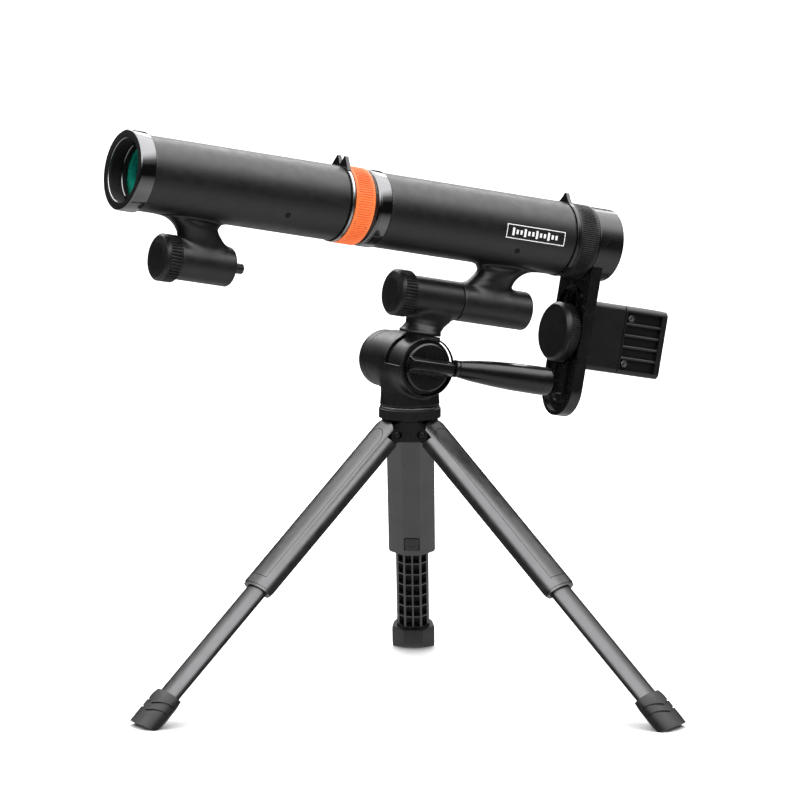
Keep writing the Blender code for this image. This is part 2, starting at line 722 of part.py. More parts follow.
def phone_knob():
    """Large thumb nut in front of the slotted arm."""
    face = turned([(91.3, 0), (91.3, 16.6), (92.9, 18.0), (94.6, 18.0), (94.6, 0)])
    join(face, toothed_ring(94.4, 101.0, 17.9, 17.3, SCREW_BORE, 16))
    return finish(face, "phone_knob", "satin_black", stud_frame())


def phone_stud():
    stud = rod(94.9, 118.0, SCREW_RADIUS, segments=18, chamfer=0.4)
    return finish(stud, "phone_stud", "steel", stud_frame())


ROD_HEIGHT = 10.5
ROD_SIDE = -2.0
ROD_END = 161.0
GUIDE_END = 155.0


def clip_lip(x0, x1):
    """Lip that hooks around the edge of a phone."""
    return prism_x(rounded_rectangle(9.0, 13.0, 3.0, (17.0, 0.0)), x0, x1)


def clip_body():
    """Fixed half of the phone clip with its guide block and fixed lip."""
    outline = rounded_rectangle(10.0, CLIP_HALF_HEIGHT, 2.5, (0.0, CLIP_RISE))
    body = prism_x(outline, CLIP_START, CLIP_SPLIT - GAP / 2)
    join(body, clip_lip(CLIP_START, CLIP_START + 5.0))
    join(body, box(CLIP_SPLIT - 2, GUIDE_END, -6.0, 6.0, -15.0, 15.0))
    for side in (-1, 1):
        cut(body, rod(112.0, GUIDE_END + 1, 1.8, "X", (0, ROD_SIDE, side * ROD_HEIGHT), 20))
    cut(body, rod(CLIP_START - 1, 119.0, SCREW_BORE, segments=24))
    return finish(body, "clip_body", "black_plastic", stud_frame())


def clip_slider():
    """Moving half of the clip: ribbed back, hollow for the guide block, lip."""
    outline = rounded_rectangle(10.0, CLIP_HALF_HEIGHT, 2.5, (0.0, CLIP_RISE))
    body = prism_x(outline, CLIP_SPLIT + GAP / 2, CLIP_END)
    join(body, clip_lip(CLIP_END - 5.0, CLIP_END))
    cut(body, box(CLIP_SPLIT - 1, GUIDE_END + 0.6, -6.4, 6.4, -15.4, 15.4))
    rib_count = 6
    pitch = 33.0 / rib_count
    for row in range(rib_count):
        low = -16.5 + row * pitch
        cut(body, box(CLIP_SPLIT + 1.5, CLIP_END - 5.0, -12.0, -7.8, low + 0.9, low + pitch))
    for side in (-1, 1):
        cut(body, rod(GUIDE_END - 1, ROD_END + 0.4, 1.7, "X", (0, ROD_SIDE, side * ROD_HEIGHT), 20))
    return finish(body, "clip_slider", "black_plastic", stud_frame())


def clip_rod(name, side):
    guide = rod(112.5, ROD_END, 1.5, segments=12, chamfer=0.2)
    return finish(guide, name, "steel", stud_frame() @ shift(y=ROD_SIDE, z=side * ROD_HEIGHT))


def clip_pad(name, start):
    """Ribbed rubber pad on the inner side of a lip."""
    outline = rounded_rectangle(7.0, 11.0, 2.0, (18.0, 0.0))
    pad = prism_x(outline, start, start + 1.6)
    return finish(pad, name, "rubber", stud_frame())


# ------------------------------------------------------------------ build --
def build_tripod():
    hub()
    for number, azimuth in enumerate(LEG_AZIMUTHS, start=1):
        hinge_pin(azimuth, number)
        upper_leg(azimuth, number)
        leg_panel(azimuth, number)
        lower_leg(azimuth, number)
        foot(azimuth, number)
        lock_button(azimuth, number)


def build_head():
    pan_bolt()
    pan_washer()
    pan_body()
    tilt_drum()
    tilt_shaft()
    tilt_cap()
    handle_root()
    handle_stud()
    handle_grip()
    adapter()
    mount_stud()
    clamp_knob(ADAPTER_START - 0.3 - KNOB_LENGTH, "adapter_knob")
    clamp_screw(-19.2, 36.0, "adapter_screw")


def build_front_monocular():
    monocular_tube("front_tube", FRONT_TUBE_START, FRONT_TUBE_END, FRONT_NOTCH, -1, -171.4, -135.4, -134.0)
    objective_ring("front_ring", FRONT_FACE, 10.0, FRONT_RING_RADIUS)
    lens("front_objective", FRONT_FACE + 13.7, 17.3, 3.0, 2.0)
    front_sight_ring()
    focus_ring("front_focus_ring", FRONT_FOCUS_START, FRONT_FOCUS_END, 23.2, "orange", 18)
    front_eyepiece()
    lens_cell("front_lens_cell", -78.0)
    lens("front_eye_lens", -68.5, 13.7, 2.0, 1.6)
    clamp_knob(-183.7, "front_knob")
    clamp_screw(-178.0, -125.8, "front_screw")


def build_rear_monocular():
    monocular_tube("rear_tube", REAR_TUBE_START, REAR_TUBE_END, REAR_NOTCH, 1, ADAPTER_END + 0.3, 68.9, 39.0)
    objective_ring("rear_ring", REAR_RING_START, 9.0, REAR_RING_RADIUS)
    lens("rear_objective", REAR_RING_START + 13.4, 17.3, 3.0, 1.6)
    rear_sight_ring()
    focus_ring("rear_focus_ring", REAR_FOCUS_START, REAR_FOCUS_END, 22.5, "black_plastic", 18)
    rear_eyepiece()
    lens_cell("rear_lens_cell", 88.0)
    lens("rear_eye_lens", 97.5, 13.7, 2.0, 1.6)


def build_phone_clip():
    phone_arm()
    phone_knob()
    phone_stud()
    clip_body()
    clip_slider()
    clip_rod("clip_rod_upper", 1)
    clip_rod("clip_rod_lower", -1)
    clip_pad("clip_pad_fixed", CLIP_START + 5.3)
    clip_pad("clip_pad_moving", CLIP_END - 5.3 - 1.6)


def main():
    for old in list(bpy.data.objects):
        bpy.data.objects.remove(old)
    build_tripod()
    build_head()
    build_front_monocular()
    build_rear_monocular()
    build_phone_clip()


main()
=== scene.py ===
"""Looks for the telescope on its tripod: fine meshes and procedural materials
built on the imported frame. Lengths are in millimetres and become metres when a
piece is placed. Every local frame comes from the frame's joints.
"""
import json
import math

import bmesh
import bpy
import numpy as np
from mathutils import Matrix, Vector

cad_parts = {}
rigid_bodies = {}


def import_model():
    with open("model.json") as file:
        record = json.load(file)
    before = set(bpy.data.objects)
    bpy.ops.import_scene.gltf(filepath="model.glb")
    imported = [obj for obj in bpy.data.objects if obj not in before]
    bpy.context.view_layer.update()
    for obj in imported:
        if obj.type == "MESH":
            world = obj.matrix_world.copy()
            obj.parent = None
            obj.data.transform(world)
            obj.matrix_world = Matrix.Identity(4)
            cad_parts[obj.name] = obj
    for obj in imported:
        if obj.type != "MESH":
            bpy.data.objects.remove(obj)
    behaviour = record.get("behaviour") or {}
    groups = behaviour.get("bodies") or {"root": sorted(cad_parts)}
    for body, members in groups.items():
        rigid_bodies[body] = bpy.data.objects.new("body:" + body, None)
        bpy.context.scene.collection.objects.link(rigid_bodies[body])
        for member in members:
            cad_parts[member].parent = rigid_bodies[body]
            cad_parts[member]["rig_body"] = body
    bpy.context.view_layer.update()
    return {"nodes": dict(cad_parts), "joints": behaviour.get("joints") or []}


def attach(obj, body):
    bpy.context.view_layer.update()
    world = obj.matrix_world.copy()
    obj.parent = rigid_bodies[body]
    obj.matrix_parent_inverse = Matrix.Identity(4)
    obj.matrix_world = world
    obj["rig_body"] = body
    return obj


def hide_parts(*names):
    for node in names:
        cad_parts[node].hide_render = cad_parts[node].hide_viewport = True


MM = 0.001
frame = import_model()
JOINTS = {joint["name"]: joint for joint in frame["joints"]}
LEGS = (1, 2, 3)


# ---------------------------------------------------------------- frames ---
def axes_frame(origin, along, across):
    """Frame with x along one direction and y nearly along another."""
    x = Vector(along).normalized()
    y = Vector(across)
    y = (y - x * x.dot(y)).normalized()
    turn = Matrix((x, y, x.cross(y))).transposed().to_4x4()
    return Matrix.Translation(Vector(origin)) @ turn


def beside(base, joint_name):
    """The same axes, moved sideways and up onto another joint's axis."""
    local = base.inverted() @ Vector(JOINTS[joint_name]["pos_m"])
    return base @ Matrix.Translation((0.0, local.y, local.z))


PAN = Matrix.Translation(Vector(JOINTS["pan"]["pos_m"]))
TILT = axes_frame(JOINTS["tilt"]["pos_m"], JOINTS["front_focus_turn"]["axis"], JOINTS["tilt"]["axis"])
TUBE = beside(TILT, "front_focus_turn")
BARREL = beside(TILT, "telescope_swing")
STUD = beside(TILT, "phone_nut_turn")
HANDLE = beside(TILT, "handle_twist")


def leg_frame(number):
    """Origin on the leg's hinge, x down the leg, z towards its outer side."""
    fold = JOINTS[f"leg_{number}_fold"]
    return axes_frame(fold["pos_m"], JOINTS[f"leg_{number}_extend"]["axis"], fold["axis"])


# ------------------------------------------------------------- node tools --
def node(tree, kind, **settings):
    made = tree.nodes.new(kind)
    for name, value in settings.items():
        setattr(made, name, value)
    return made


def noise(tree, scale, detail=3.0, stretch=(1.0, 1.0, 1.0)):
    """Noise factor in object space; scale counts features in a metre."""
    where = node(tree, "ShaderNodeTexCoord")
    mapping = node(tree, "ShaderNodeMapping")
    mapping.inputs["Scale"].default_value = stretch
    texture = node(tree, "ShaderNodeTexNoise")
    texture.inputs["Scale"].default_value = scale
    texture.inputs["Detail"].default_value = detail
    tree.links.new(where.outputs["Object"], mapping.inputs["Vector"])
    tree.links.new(mapping.outputs["Vector"], texture.inputs["Vector"])
    return texture.outputs["Fac"]


def ramp(tree, factor, low, high, dark, light):
    """Colour ramp between two colours."""
    made = node(tree, "ShaderNodeValToRGB")
    made.color_ramp.elements[0].position = low
    made.color_ramp.elements[0].color = dark
    made.color_ramp.elements[1].position = high
    made.color_ramp.elements[1].color = light
    tree.links.new(factor, made.inputs["Fac"])
    return made.outputs["Color"]


def spread(tree, factor, low, high):
    """Map a noise factor onto a range of values."""
    made = node(tree, "ShaderNodeMapRange")
    made.inputs["From Min"].default_value = 0.3
    made.inputs["From Max"].default_value = 0.7
    made.inputs["To Min"].default_value = low
    made.inputs["To Max"].default_value = high
    tree.links.new(factor, made.inputs["Value"])
    return made.outputs["Result"]


def mix_colours(tree, factor, first, second):
    """Mix a linked colour with a plain one by a linked factor."""
    made = node(tree, "ShaderNodeMix", data_type="RGBA")
    sockets = {socket.name: socket for socket in made.inputs if socket.enabled}
    tree.links.new(factor, sockets["Factor"])
    tree.links.new(first, sockets["A"])
    sockets["B"].default_value = second
    return [socket for socket in made.outputs if socket.enabled][0]


def bump(tree, height, strength, distance):
    made = node(tree, "ShaderNodeBump")
    made.inputs["Strength"].default_value = strength
    made.inputs["Distance"].default_value = distance
    tree.links.new(height, made.inputs["Height"])
    return made.outputs["Normal"]


def grey(value):
    return (value, value, value * 1.02, 1.0)


COAT_ROUGHNESS = 0.12
GRAIN_HEIGHT = 0.00006
# Noise squeezed along a turned part, so its grain runs round it.
TURNED = (6.0, 1.0, 1.0)


def new_material(name):
    made = bpy.data.materials.new(name)
    made.use_nodes = True
    return made, made.node_tree, made.node_tree.nodes["Principled BSDF"]


def coating(name, dark, light, roughness, grain, grain_strength, metallic=0.0, coat=0.0,
            stretch=(1.0, 1.0, 1.0), specular=0.5, cloud=45.0):
    """Painted, moulded or metal surface: cloudy colour, uneven gloss and fine grain."""
    made, tree, shader = new_material(name)
    shader.inputs["Metallic"].default_value = metallic
    shader.inputs["Specular IOR Level"].default_value = specular
    if coat:
        shader.inputs["Coat Weight"].default_value = coat
        shader.inputs["Coat Roughness"].default_value = COAT_ROUGHNESS
    colour = ramp(tree, noise(tree, cloud, 4.0), 0.3, 0.7, dark, light)
    tree.links.new(colour, shader.inputs["Base Color"])
    gloss = spread(tree, noise(tree, cloud * 4.0, 5.0, stretch), roughness - 0.05, roughness + 0.06)
    tree.links.new(gloss, shader.inputs["Roughness"])
    fine = noise(tree, grain, 2.0, stretch)
    tree.links.new(bump(tree, fine, grain_strength, GRAIN_HEIGHT), shader.inputs["Normal"])
    made.diffuse_color = light
    return made


# -------------------------------------------------------------- materials --
def tube_coat():
    """Fine matt black coating of the tubes and their brackets."""
    return coating("tube_coat", grey(0.0022), grey(0.0032), 0.43, 2600.0, 0.08, specular=0.90)


def moulded_black():
    """Black moulded plastic with a light spark-eroded grain."""
    return coating("moulded_black", grey(0.0050), grey(0.0070), 0.37, 3200.0, 0.12, specular=0.6)


def satin_black():
    """Smoother, glossier black plastic."""
    return coating("satin_black", grey(0.0036), grey(0.0050), 0.25, 2400.0, 0.03, coat=0.30, specular=0.70)


def grip_black():
    """Polished soft plastic of the pan handle."""
    return coating("grip_black", grey(0.0035), grey(0.0055), 0.22, 1500.0, 0.04, coat=0.25,
                   stretch=(0.25, 1.0, 1.0))


def black_paint_and_painted_shade():
    """Matt near-black: black paint inside the objective mouth, and painted shade on the leg pocket floors,
    the clip recess floor and the set screw holes.
    """
    return coating("black_paint_and_painted_shade", grey(0.0030), grey(0.0050), 0.62, 2200.0, 0.20, specular=0.25)


def leg_paint():
    """Dark grey metallic satin paint of the leg shells."""
    made = coating("leg_paint", grey(0.128), grey(0.142), 0.31, 3000.0, 0.05, metallic=0.95)
    tree = made.node_tree
    base = tree.nodes["Principled BSDF"].inputs["Base Color"]
    flakes = noise(tree, 5200.0, 0.0)
    mask = ramp(tree, flakes, 0.62, 0.72, (0.0, 0.0, 0.0, 1.0), (0.15, 0.15, 0.15, 1.0))
    tree.links.new(mix_colours(tree, mask, base.links[0].from_socket, grey(0.16)), base)
    return made


def foot_rubber():
    """Dull rubber of the feet and pads."""
    return coating("foot_rubber", grey(0.008), grey(0.012), 0.44, 1500.0, 0.20, specular=0.50)


def eyecup_rubber():
    return coating("eyecup_rubber", grey(0.012), grey(0.018), 0.68, 1800.0, 0.35, specular=0.35)


def dark_chrome():
    """Polished dark chrome of the objective rings."""
    return coating("dark_chrome", grey(0.21), grey(0.24), 0.09, 900.0, 0.02, metallic=1.0,
                   stretch=(8.0, 1.0, 1.0), cloud=25.0)


def bare_edge():
    """Turned aluminium left bright on the sight ring's rim."""
    return coating("bare_edge", grey(0.52), grey(0.62), 0.24, 1500.0, 0.05, metallic=1.0, stretch=TURNED)


def pin_steel():
    """Ground steel of screws and pins."""
    return coating("pin_steel", grey(0.28), grey(0.38), 0.30, 1600.0, 0.08, metallic=1.0, stretch=TURNED)


def dark_steel():
    """Blackened steel of the clamp screws."""
    return coating("dark_steel", grey(0.060), grey(0.085), 0.34, 1600.0, 0.10, metallic=0.9, stretch=TURNED)


def orange_ring():
    """Orange anodising of the front focus ring."""
    return coating("orange_ring", (0.78, 0.145, 0.026, 1.0), (0.90, 0.185, 0.036, 1.0), 0.38, 1900.0, 0.08)


def umber_groove():
    """Brown-black anodising of the groove behind the orange ring."""
    return coating("umber_groove", (0.020, 0.006, 0.004, 1.0), (0.032, 0.009, 0.005, 1.0), 0.38, 1800.0, 0.08)


def white_print():
    """Pad-printed white ink."""
    return coating("white_print", grey(0.74), grey(0.86), 0.50, 1400.0, 0.10)


def coated_glass():
    """Lens glass with a green anti-reflection coating, and painted reflections of the coating as bright teal
    blotches in its colour.
    """
    made, tree, shader = new_material("coated_glass")
    shader.inputs["Transmission Weight"].default_value = 0.25
    shader.inputs["IOR"].default_value = 1.62
    shader.inputs["Coat Weight"].default_value = 0.6
    shader.inputs["Coat Tint"].default_value = (0.20, 1.0, 0.80, 1.0)
    shader.inputs["Specular Tint"].default_value = (0.08, 1.0, 0.72, 1.0)
    deep_green = (0.001, 0.022, 0.028, 1.0)
    painted_reflection_teal = (0.014, 0.300, 0.240, 1.0)
    # The bright teal blotches in the base colour are painted reflections of the lens coating.
    painted_reflection_tint = ramp(tree, noise(tree, 42.0, 1.0), 0.38, 0.62, deep_green, painted_reflection_teal)
    tree.links.new(painted_reflection_tint, shader.inputs["Base Color"])
    smears = spread(tree, noise(tree, 140.0, 4.0), 0.02, 0.07)
    tree.links.new(smears, shader.inputs["Roughness"])
    made.diffuse_color = (0.01, 0.25, 0.2, 1.0)
    return made


def floor_paint():
    """Seamless pale studio floor."""
    made, tree, shader = new_material("floor_paint")
    pale = ramp(tree, noise(tree, 3.0, 2.0), 0.3, 0.7, (0.80, 0.80, 0.80, 1.0), (0.83, 0.83, 0.83, 1.0))
    tree.links.new(pale, shader.inputs["Base Color"])
    shader.inputs["Roughness"].default_value = 0.9
    shader.inputs["Specular IOR Level"].default_value = 0.1
    return made


FINISHES = {}
MAKERS = {maker.__name__: maker for maker in (
    tube_coat, moulded_black, satin_black, grip_black, black_paint_and_painted_shade, leg_paint, foot_rubber, eyecup_rubber,
    dark_chrome, bare_edge, pin_steel, dark_steel, orange_ring, umber_groove, white_print, coated_glass,
    floor_paint)}


def finish_named(name):
    """One shared material for each named finish."""
    if name not in FINISHES:
        FINISHES[name] = MAKERS[name]()
    return FINISHES[name]


# -------------------------------------------------------------- mesh tools --
def linked(data):
    """New object in the scene, named after its mesh, lamp or camera."""
    made = bpy.data.objects.new(data.name, data)
    bpy.context.scene.collection.objects.link(made)
    return made


def solid(bm):
    """Object from a closed mesh, with its faces turned outwards."""
    bmesh.ops.recalc_face_normals(bm, faces=bm.faces)
    mesh = bpy.data.meshes.new("tool")
    bm.to_mesh(mesh)
    bm.free()
    return linked(mesh)


def settle(piece):
    """Apply every modifier of a piece."""
    bpy.context.view_layer.update()
    evaluated = piece.evaluated_get(bpy.context.evaluated_depsgraph_get())
    mesh = bpy.data.meshes.new_from_object(evaluated)
    piece.modifiers.clear()
    piece.data = mesh
    return piece


def combine(base, others, operation):
    for other in others:
        change = base.modifiers.new("change", "BOOLEAN")
        change.operation = operation
        change.solver = "EXACT"
        change.object = other
        settle(base)
        bpy.data.objects.remove(other)
    return base


def cut(base, *others):
    return combine(base, others, "DIFFERENCE")


def join(base, *others):
    return combine(base, others, "UNION")


def keep(base, *others):
    return combine(base, others, "INTERSECT")


def soften(piece, width, segments=2, angle=32.0):
    """Round the sharp edges of a piece."""
    change = piece.modifiers.new("soften", "BEVEL")
    change.width = width
    change.segments = segments
    change.limit_method = "ANGLE"
    change.angle_limit = math.radians(angle)
    change.miter_outer = "MITER_ARC"
    settle(piece)
    piece["flat_faces"] = True
    return piece


def flatten_shading(piece):
    """Keep the broad faces of a bevelled piece evenly shaded."""
    change = piece.modifiers.new("normals", "WEIGHTED_NORMAL")
    change.keep_sharp = True
    change.weight = 80
    return settle(piece)


AXIS_TURNS = {
    "X": Matrix.Identity(4),
    "Y": Matrix.Rotation(math.pi / 2, 4, "Z"),
    "Z": Matrix.Rotation(-math.pi / 2, 4, "Y"),
}


def arc(centre, radii, begin, sweep, steps):
    """Points on an elliptical arc; the two angles are in degrees."""
    angles = [math.radians(begin + sweep * step / steps) for step in range(steps + 1)]
    return [(centre[0] + radii[0] * math.cos(a), centre[1] + radii[1] * math.sin(a)) for a in angles]


def shifted_by(start, points):
    """Outline points whose stations were measured from a start."""
    return [(start + point[0], *point[1:]) for point in points]


def rounded(points, radius=0.0, closed=True, steps=4):
    """Round the corners of a (station, radius) outline; a third value overrides the radius."""
    count = len(points)
    path = []
    for index, point in enumerate(points):
        here = Vector(point[:2])
        wanted = point[2] if len(point) > 2 else radius
        if not closed and index in (0, count - 1):
            path.append(here)
            continue
        before = Vector(points[index - 1][:2]) - here
        after = Vector(points[(index + 1) % count][:2]) - here
        half = before.angle(after) / 2
        reach = wanted / math.tan(half) if half > 0.01 else 0.0
        reach = min(reach, before.length * 0.48, after.length * 0.48)
        if wanted == 0 or reach < 1e-4 or half > math.pi / 2 - 0.02:
            path.append(here)
            continue
        fillet = reach * math.tan(half)
        middle = here + (before.normalized() + after.normalized()).normalized() * (fillet / math.sin(half))
        start = here + before.normalized() * reach - middle
        sweep = start.angle_signed(here + after.normalized() * reach - middle)
        path += [middle + Matrix.Rotation(-sweep * step / steps, 2) @ start for step in range(steps + 1)]
    return [(p.x, p.y) for p in path]


def revolve(path, axis="X", centre=(0, 0, 0), segments=96, closed=True, offset=None):
    """Turn (station, radius) points round an axis. offset(station, step) may change
    the radius at each step round the turn."""
    bm = bmesh.new()
    rings = []
    for station, radius in path:
        if radius < 1e-6:
            rings.append([bm.verts.new((station, 0, 0))])
            continue
        ring = []
        for step in range(segments):
            angle = 2 * math.pi * step / segments
            here = radius + (offset(station, step) if offset else 0.0)
            ring.append(bm.verts.new((station, here * math.cos(angle), here * math.sin(angle))))
        rings.append(ring)
    pairs = list(zip(rings, rings[1:]))
    if closed:
        pairs.append((rings[-1], rings[0]))
    for first, second in pairs:
        for step in range(segments):
            following = (step + 1) % segments
            corners = [first[step % len(first)], first[following % len(first)],
                       second[following % len(second)], second[step % len(second)]]
            corners = list(dict.fromkeys(corners))
            if len(corners) > 2:
                bm.faces.new(corners)
    bmesh.ops.transform(bm, matrix=Matrix.Translation(Vector(centre)) @ AXIS_TURNS[axis], verts=bm.verts)
    return solid(bm)


def turned(points, radius=0.0, **settings):
    """Revolve an outline with rounded corners; one that starts and ends on the axis stays open there."""
    on_axis = points[0][1] == 0 and points[-1][1] == 0
    return revolve(rounded(points, radius, closed=not on_axis), **settings)


def rod(start, end, radius, axis="X", centre=(0, 0, 0), segments=64, edge=0.0):
    """Solid round bar with rounded end edges."""
    outline = [(start, 0), (start, radius), (end, radius), (end, 0)]
    path = rounded(outline, edge, closed=False) if edge else outline
    return revolve(path, axis, centre, segments)


def ribs(count, depth, start, end, fade):
    """Radius change of straight ribs between two stations, six points to a rib."""
    pattern = (0.0, 0.0, 0.25, 1.0, 1.0, 0.25)

    def offset(station, step):
        inside = min(station - start, end - station) / fade
        return -depth * pattern[step % 6] * max(0.0, min(1.0, inside))

    return offset, count * len(pattern)


def loft(sections):
    """Closed skin over equally long loops of points."""
    bm = bmesh.new()
    loops = [[bm.verts.new(point) for point in section] for section in sections]
    count = len(loops[0])
    for first, second in zip(loops, loops[1:]):
        for step in range(count):
            following = (step + 1) % count
            bm.faces.new((first[step], first[following], second[following], second[step]))
    bm.faces.new(loops[0])
    bm.faces.new(list(reversed(loops[-1])))
    return solid(bm)


def prism(outline, start, end, axis="X"):
    """Extrude an outline along an axis; the outline holds the other two coordinates."""
    order = {
        "X": lambda s, a, b: (s, a, b),
        "Y": lambda s, a, b: (a, s, b),
        "Z": lambda s, a, b: (a, b, s),
    }[axis]
    return loft([[order(station, a, b) for a, b in outline] for station in (start, end)])


def box(x0, x1, y0, y1, z0, z1):
    return prism([(x0, y0), (x1, y0), (x1, y1), (x0, y1)], z0, z1, "Z")


def rounded_rectangle(half_a, half_b, radius, centre=(0.0, 0.0), steps=8):
    points = []
    for sign_a, sign_b, begin in ((1, 1, 0), (-1, 1, 90), (-1, -1, 180), (1, -1, 270)):
        corner = (centre[0] + sign_a * (half_a - radius), centre[1] + sign_b * (half_b - radius))
        points += arc(corner, (radius, radius), begin, 90, steps)
    return points


# ------------------------------------------------ smooth castings from fields --
def smooth_union(first, second, width):
    """Union of two distance fields with a round fillet."""
    blend = np.clip(0.5 + 0.5 * (second - first) / width, 0.0, 1.0)
    return second * (1 - blend) + first * blend - width * blend * (1 - blend)


def smooth_cut(first, second, width):
    """First field with the second taken away and the new edge rounded."""
    return -smooth_union(-first, second, width)


def bar_field(x, y, z, start, end, radius, edge):
    """Distance field of a round bar along x."""
    side = np.hypot(y, z) - radius
    ends = np.maximum(start - x, x - end)
    return -smooth_union(-side, -ends, edge)


SURFACE_PULLS = 4


def casting(field, low, high, step):
    """Closed mesh of the zero level of field(x, y, z), from a grid of the given step."""
    axes = [np.arange(a - step, b + 2 * step, step) for a, b in zip(low, high)]
    values = field(*np.meshgrid(*axes, indexing="ij"))
    inside = values < 0
    shape = [n - 1 for n in values.shape]
    total = np.zeros(shape + [3])
    hits = np.zeros(shape)
    corners = [(i, j, k) for i in (0, 1) for j in (0, 1) for k in (0, 1)]

    def part(array, corner):
        return array[tuple(slice(c, c + n) for c, n in zip(corner, shape))]

    # One point in each cell that the surface crosses: the middle of its crossed edges.
    for first in corners:
        for second in corners:
            step_along = [b - a for a, b in zip(first, second)]
            if sorted(step_along) != [0, 0, 1]:
                continue
            a, b = part(values, first), part(values, second)
            crossing = part(inside, first) != part(inside, second)
            share = np.where(crossing, a / np.where(crossing, a - b, 1.0), 0.0)
            for direction in range(3):
                crossed_at = first[direction] + share * step_along[direction]
                total[..., direction] += np.where(crossing, crossed_at, 0.0)
            hits += crossing
    used = hits > 0
    number = np.full(shape, -1)
    number[used] = np.arange(used.sum())
    cells = np.argwhere(used)
    points = (cells + total[used] / hits[used][:, None]) * step + np.array([a[0] for a in axes])

    def slope(p):
        reach = 0.02
        rise = [field(*(p + reach * unit).T) - field(*(p - reach * unit).T) for unit in np.eye(3)]
        return np.stack(rise, axis=1) / (2 * reach)

    # Pull the points onto the true surface.
    for _ in range(SURFACE_PULLS):
        gradient = slope(points)
        size = np.maximum((gradient ** 2).sum(axis=1), 1e-6)
        move = (field(*points.T) / size)[:, None] * gradient
        points = points - np.clip(move, -0.4 * step, 0.4 * step)
    # One face for each grid edge that the surface crosses.
    faces = []
    for direction in range(3):
        u, v = [d for d in range(3) if d != direction]
        ahead = [slice(None)] * 3
        ahead[direction] = slice(1, None)
        behind = [slice(None)] * 3
        behind[direction] = slice(None, -1)
        changes = np.argwhere(inside[tuple(ahead)] != inside[tuple(behind)])
        changes = changes[(changes[:, u] > 0) & (changes[:, v] > 0)
                          & (changes[:, u] < shape[u]) & (changes[:, v] < shape[v])]
        ring = []
        for du, dv in ((-1, -1), (0, -1), (0, 0), (-1, 0)):
            cell = changes.copy()
            cell[:, u] += du
            cell[:, v] += dv
            ring.append(number[tuple(cell.T)])
        quads = np.stack(ring, axis=1)
        outward = inside[tuple(changes.T)] != (direction == 1)
        quads[~outward] = quads[~outward][:, ::-1]
        faces.append(quads)
    faces = np.concatenate(faces)
    mesh = bpy.data.meshes.new("casting")
    mesh.from_pydata(points.tolist(), [], faces.tolist())
    mesh.validate()
    return linked(mesh)


def stand_for(piece, finish, local, host, sharp=34.0):
    """Show a piece in place of a CAD node."""
    add_to(piece, f"{host}_skin", finish, local, host, sharp)
    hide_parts(host)


def add_to(piece, name, finish, local, host, sharp=34.0):
    """Name a piece, scale it to metres, shade it and let it move with a CAD node."""
    piece.name = name
    piece.data.name = name
    piece.data.transform(local @ Matrix.Scale(MM, 4))
    piece.data.materials.clear()
    piece.data.materials.append(finish_named(finish))
    piece.data.shade_smooth()
    piece.data.set_sharp_from_angle(angle=math.radians(sharp))
    if piece.get("flat_faces"):
        flatten_shading(piece)
    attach(piece, frame["nodes"][host]["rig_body"])


def copies(template):
    """One equal shape for each leg; the template itself is the last one."""
    made = []
    for _ in LEGS[1:]:
        twin = template.copy()
        twin.data = template.data.copy()
        bpy.context.scene.collection.objects.link(twin)
        made.append(twin)
    return made + [template]


def on_each_leg(body, finish, part_name, station=0.0):
    """Show a finished shape on all three legs in place of their CAD nodes."""
    for number, piece in zip(LEGS, copies(body)):
        local = leg_frame(number) @ Matrix.Translation((station * MM, 0.0, 0.0))
        stand_for(piece, finish, local, f"{part_name}_{number}")


def boxes(sizes):
    """Several separate boxes in one mesh."""
    bm = bmesh.new()
    for x0, x1, y0, y1, z0, z1 in sizes:
        middle = Matrix.Translation(((x0 + x1) / 2, (y0 + y1) / 2, (z0 + z1) / 2))
        size = Matrix.Diagonal((x1 - x0, y1 - y0, z1 - z0, 1.0))
        bmesh.ops.create_cube(bm, size=1.0, matrix=middle @ size)
    return solid(bm)


# --------------------------------------------------------------------- legs --
UPPER_SECTION = (14.4, 5.2, -6.0, -2.0, 8.8, 3.0)
LOWER_SECTION = (10.15, 5.0, -3.7, -1.0, 5.7, 2.4)
LEG_TOP = -5.0
LEG_END = 125.7
LOWER_TOP = 105.0
LOWER_END = 215.0
FOOT_TOP = 208.5
BUTTON_STATION = 113.0
PIN_BORE = 2.3
ARC_STEPS = 44


def leg_section(size, grow=0.0):
    """Leg outline: three flats on the inner side and one rounded outer side."""
    half_width, flat_half, inner, side, crown, power = size
    half_width += grow
    crown += grow
    points = [(-flat_half, inner - grow), (flat_half, inner - grow)]
    for step in range(ARC_STEPS + 1):
        y = half_width * math.cos(math.pi * step / ARC_STEPS)
        rise = (1 - min(1.0, abs(y / half_width)) ** power) ** (1 / power)
        points.append((y, side + crown * rise))
    return points


def panel_plan(margin=0.0):
    """U-shaped outline of the cover along the leg."""
    half = 8.6 + margin
    return [(118.0 + margin, -half), (118.0 + margin, half)] + arc((11.0, 0.0), (half, half), 90, 180, 24)


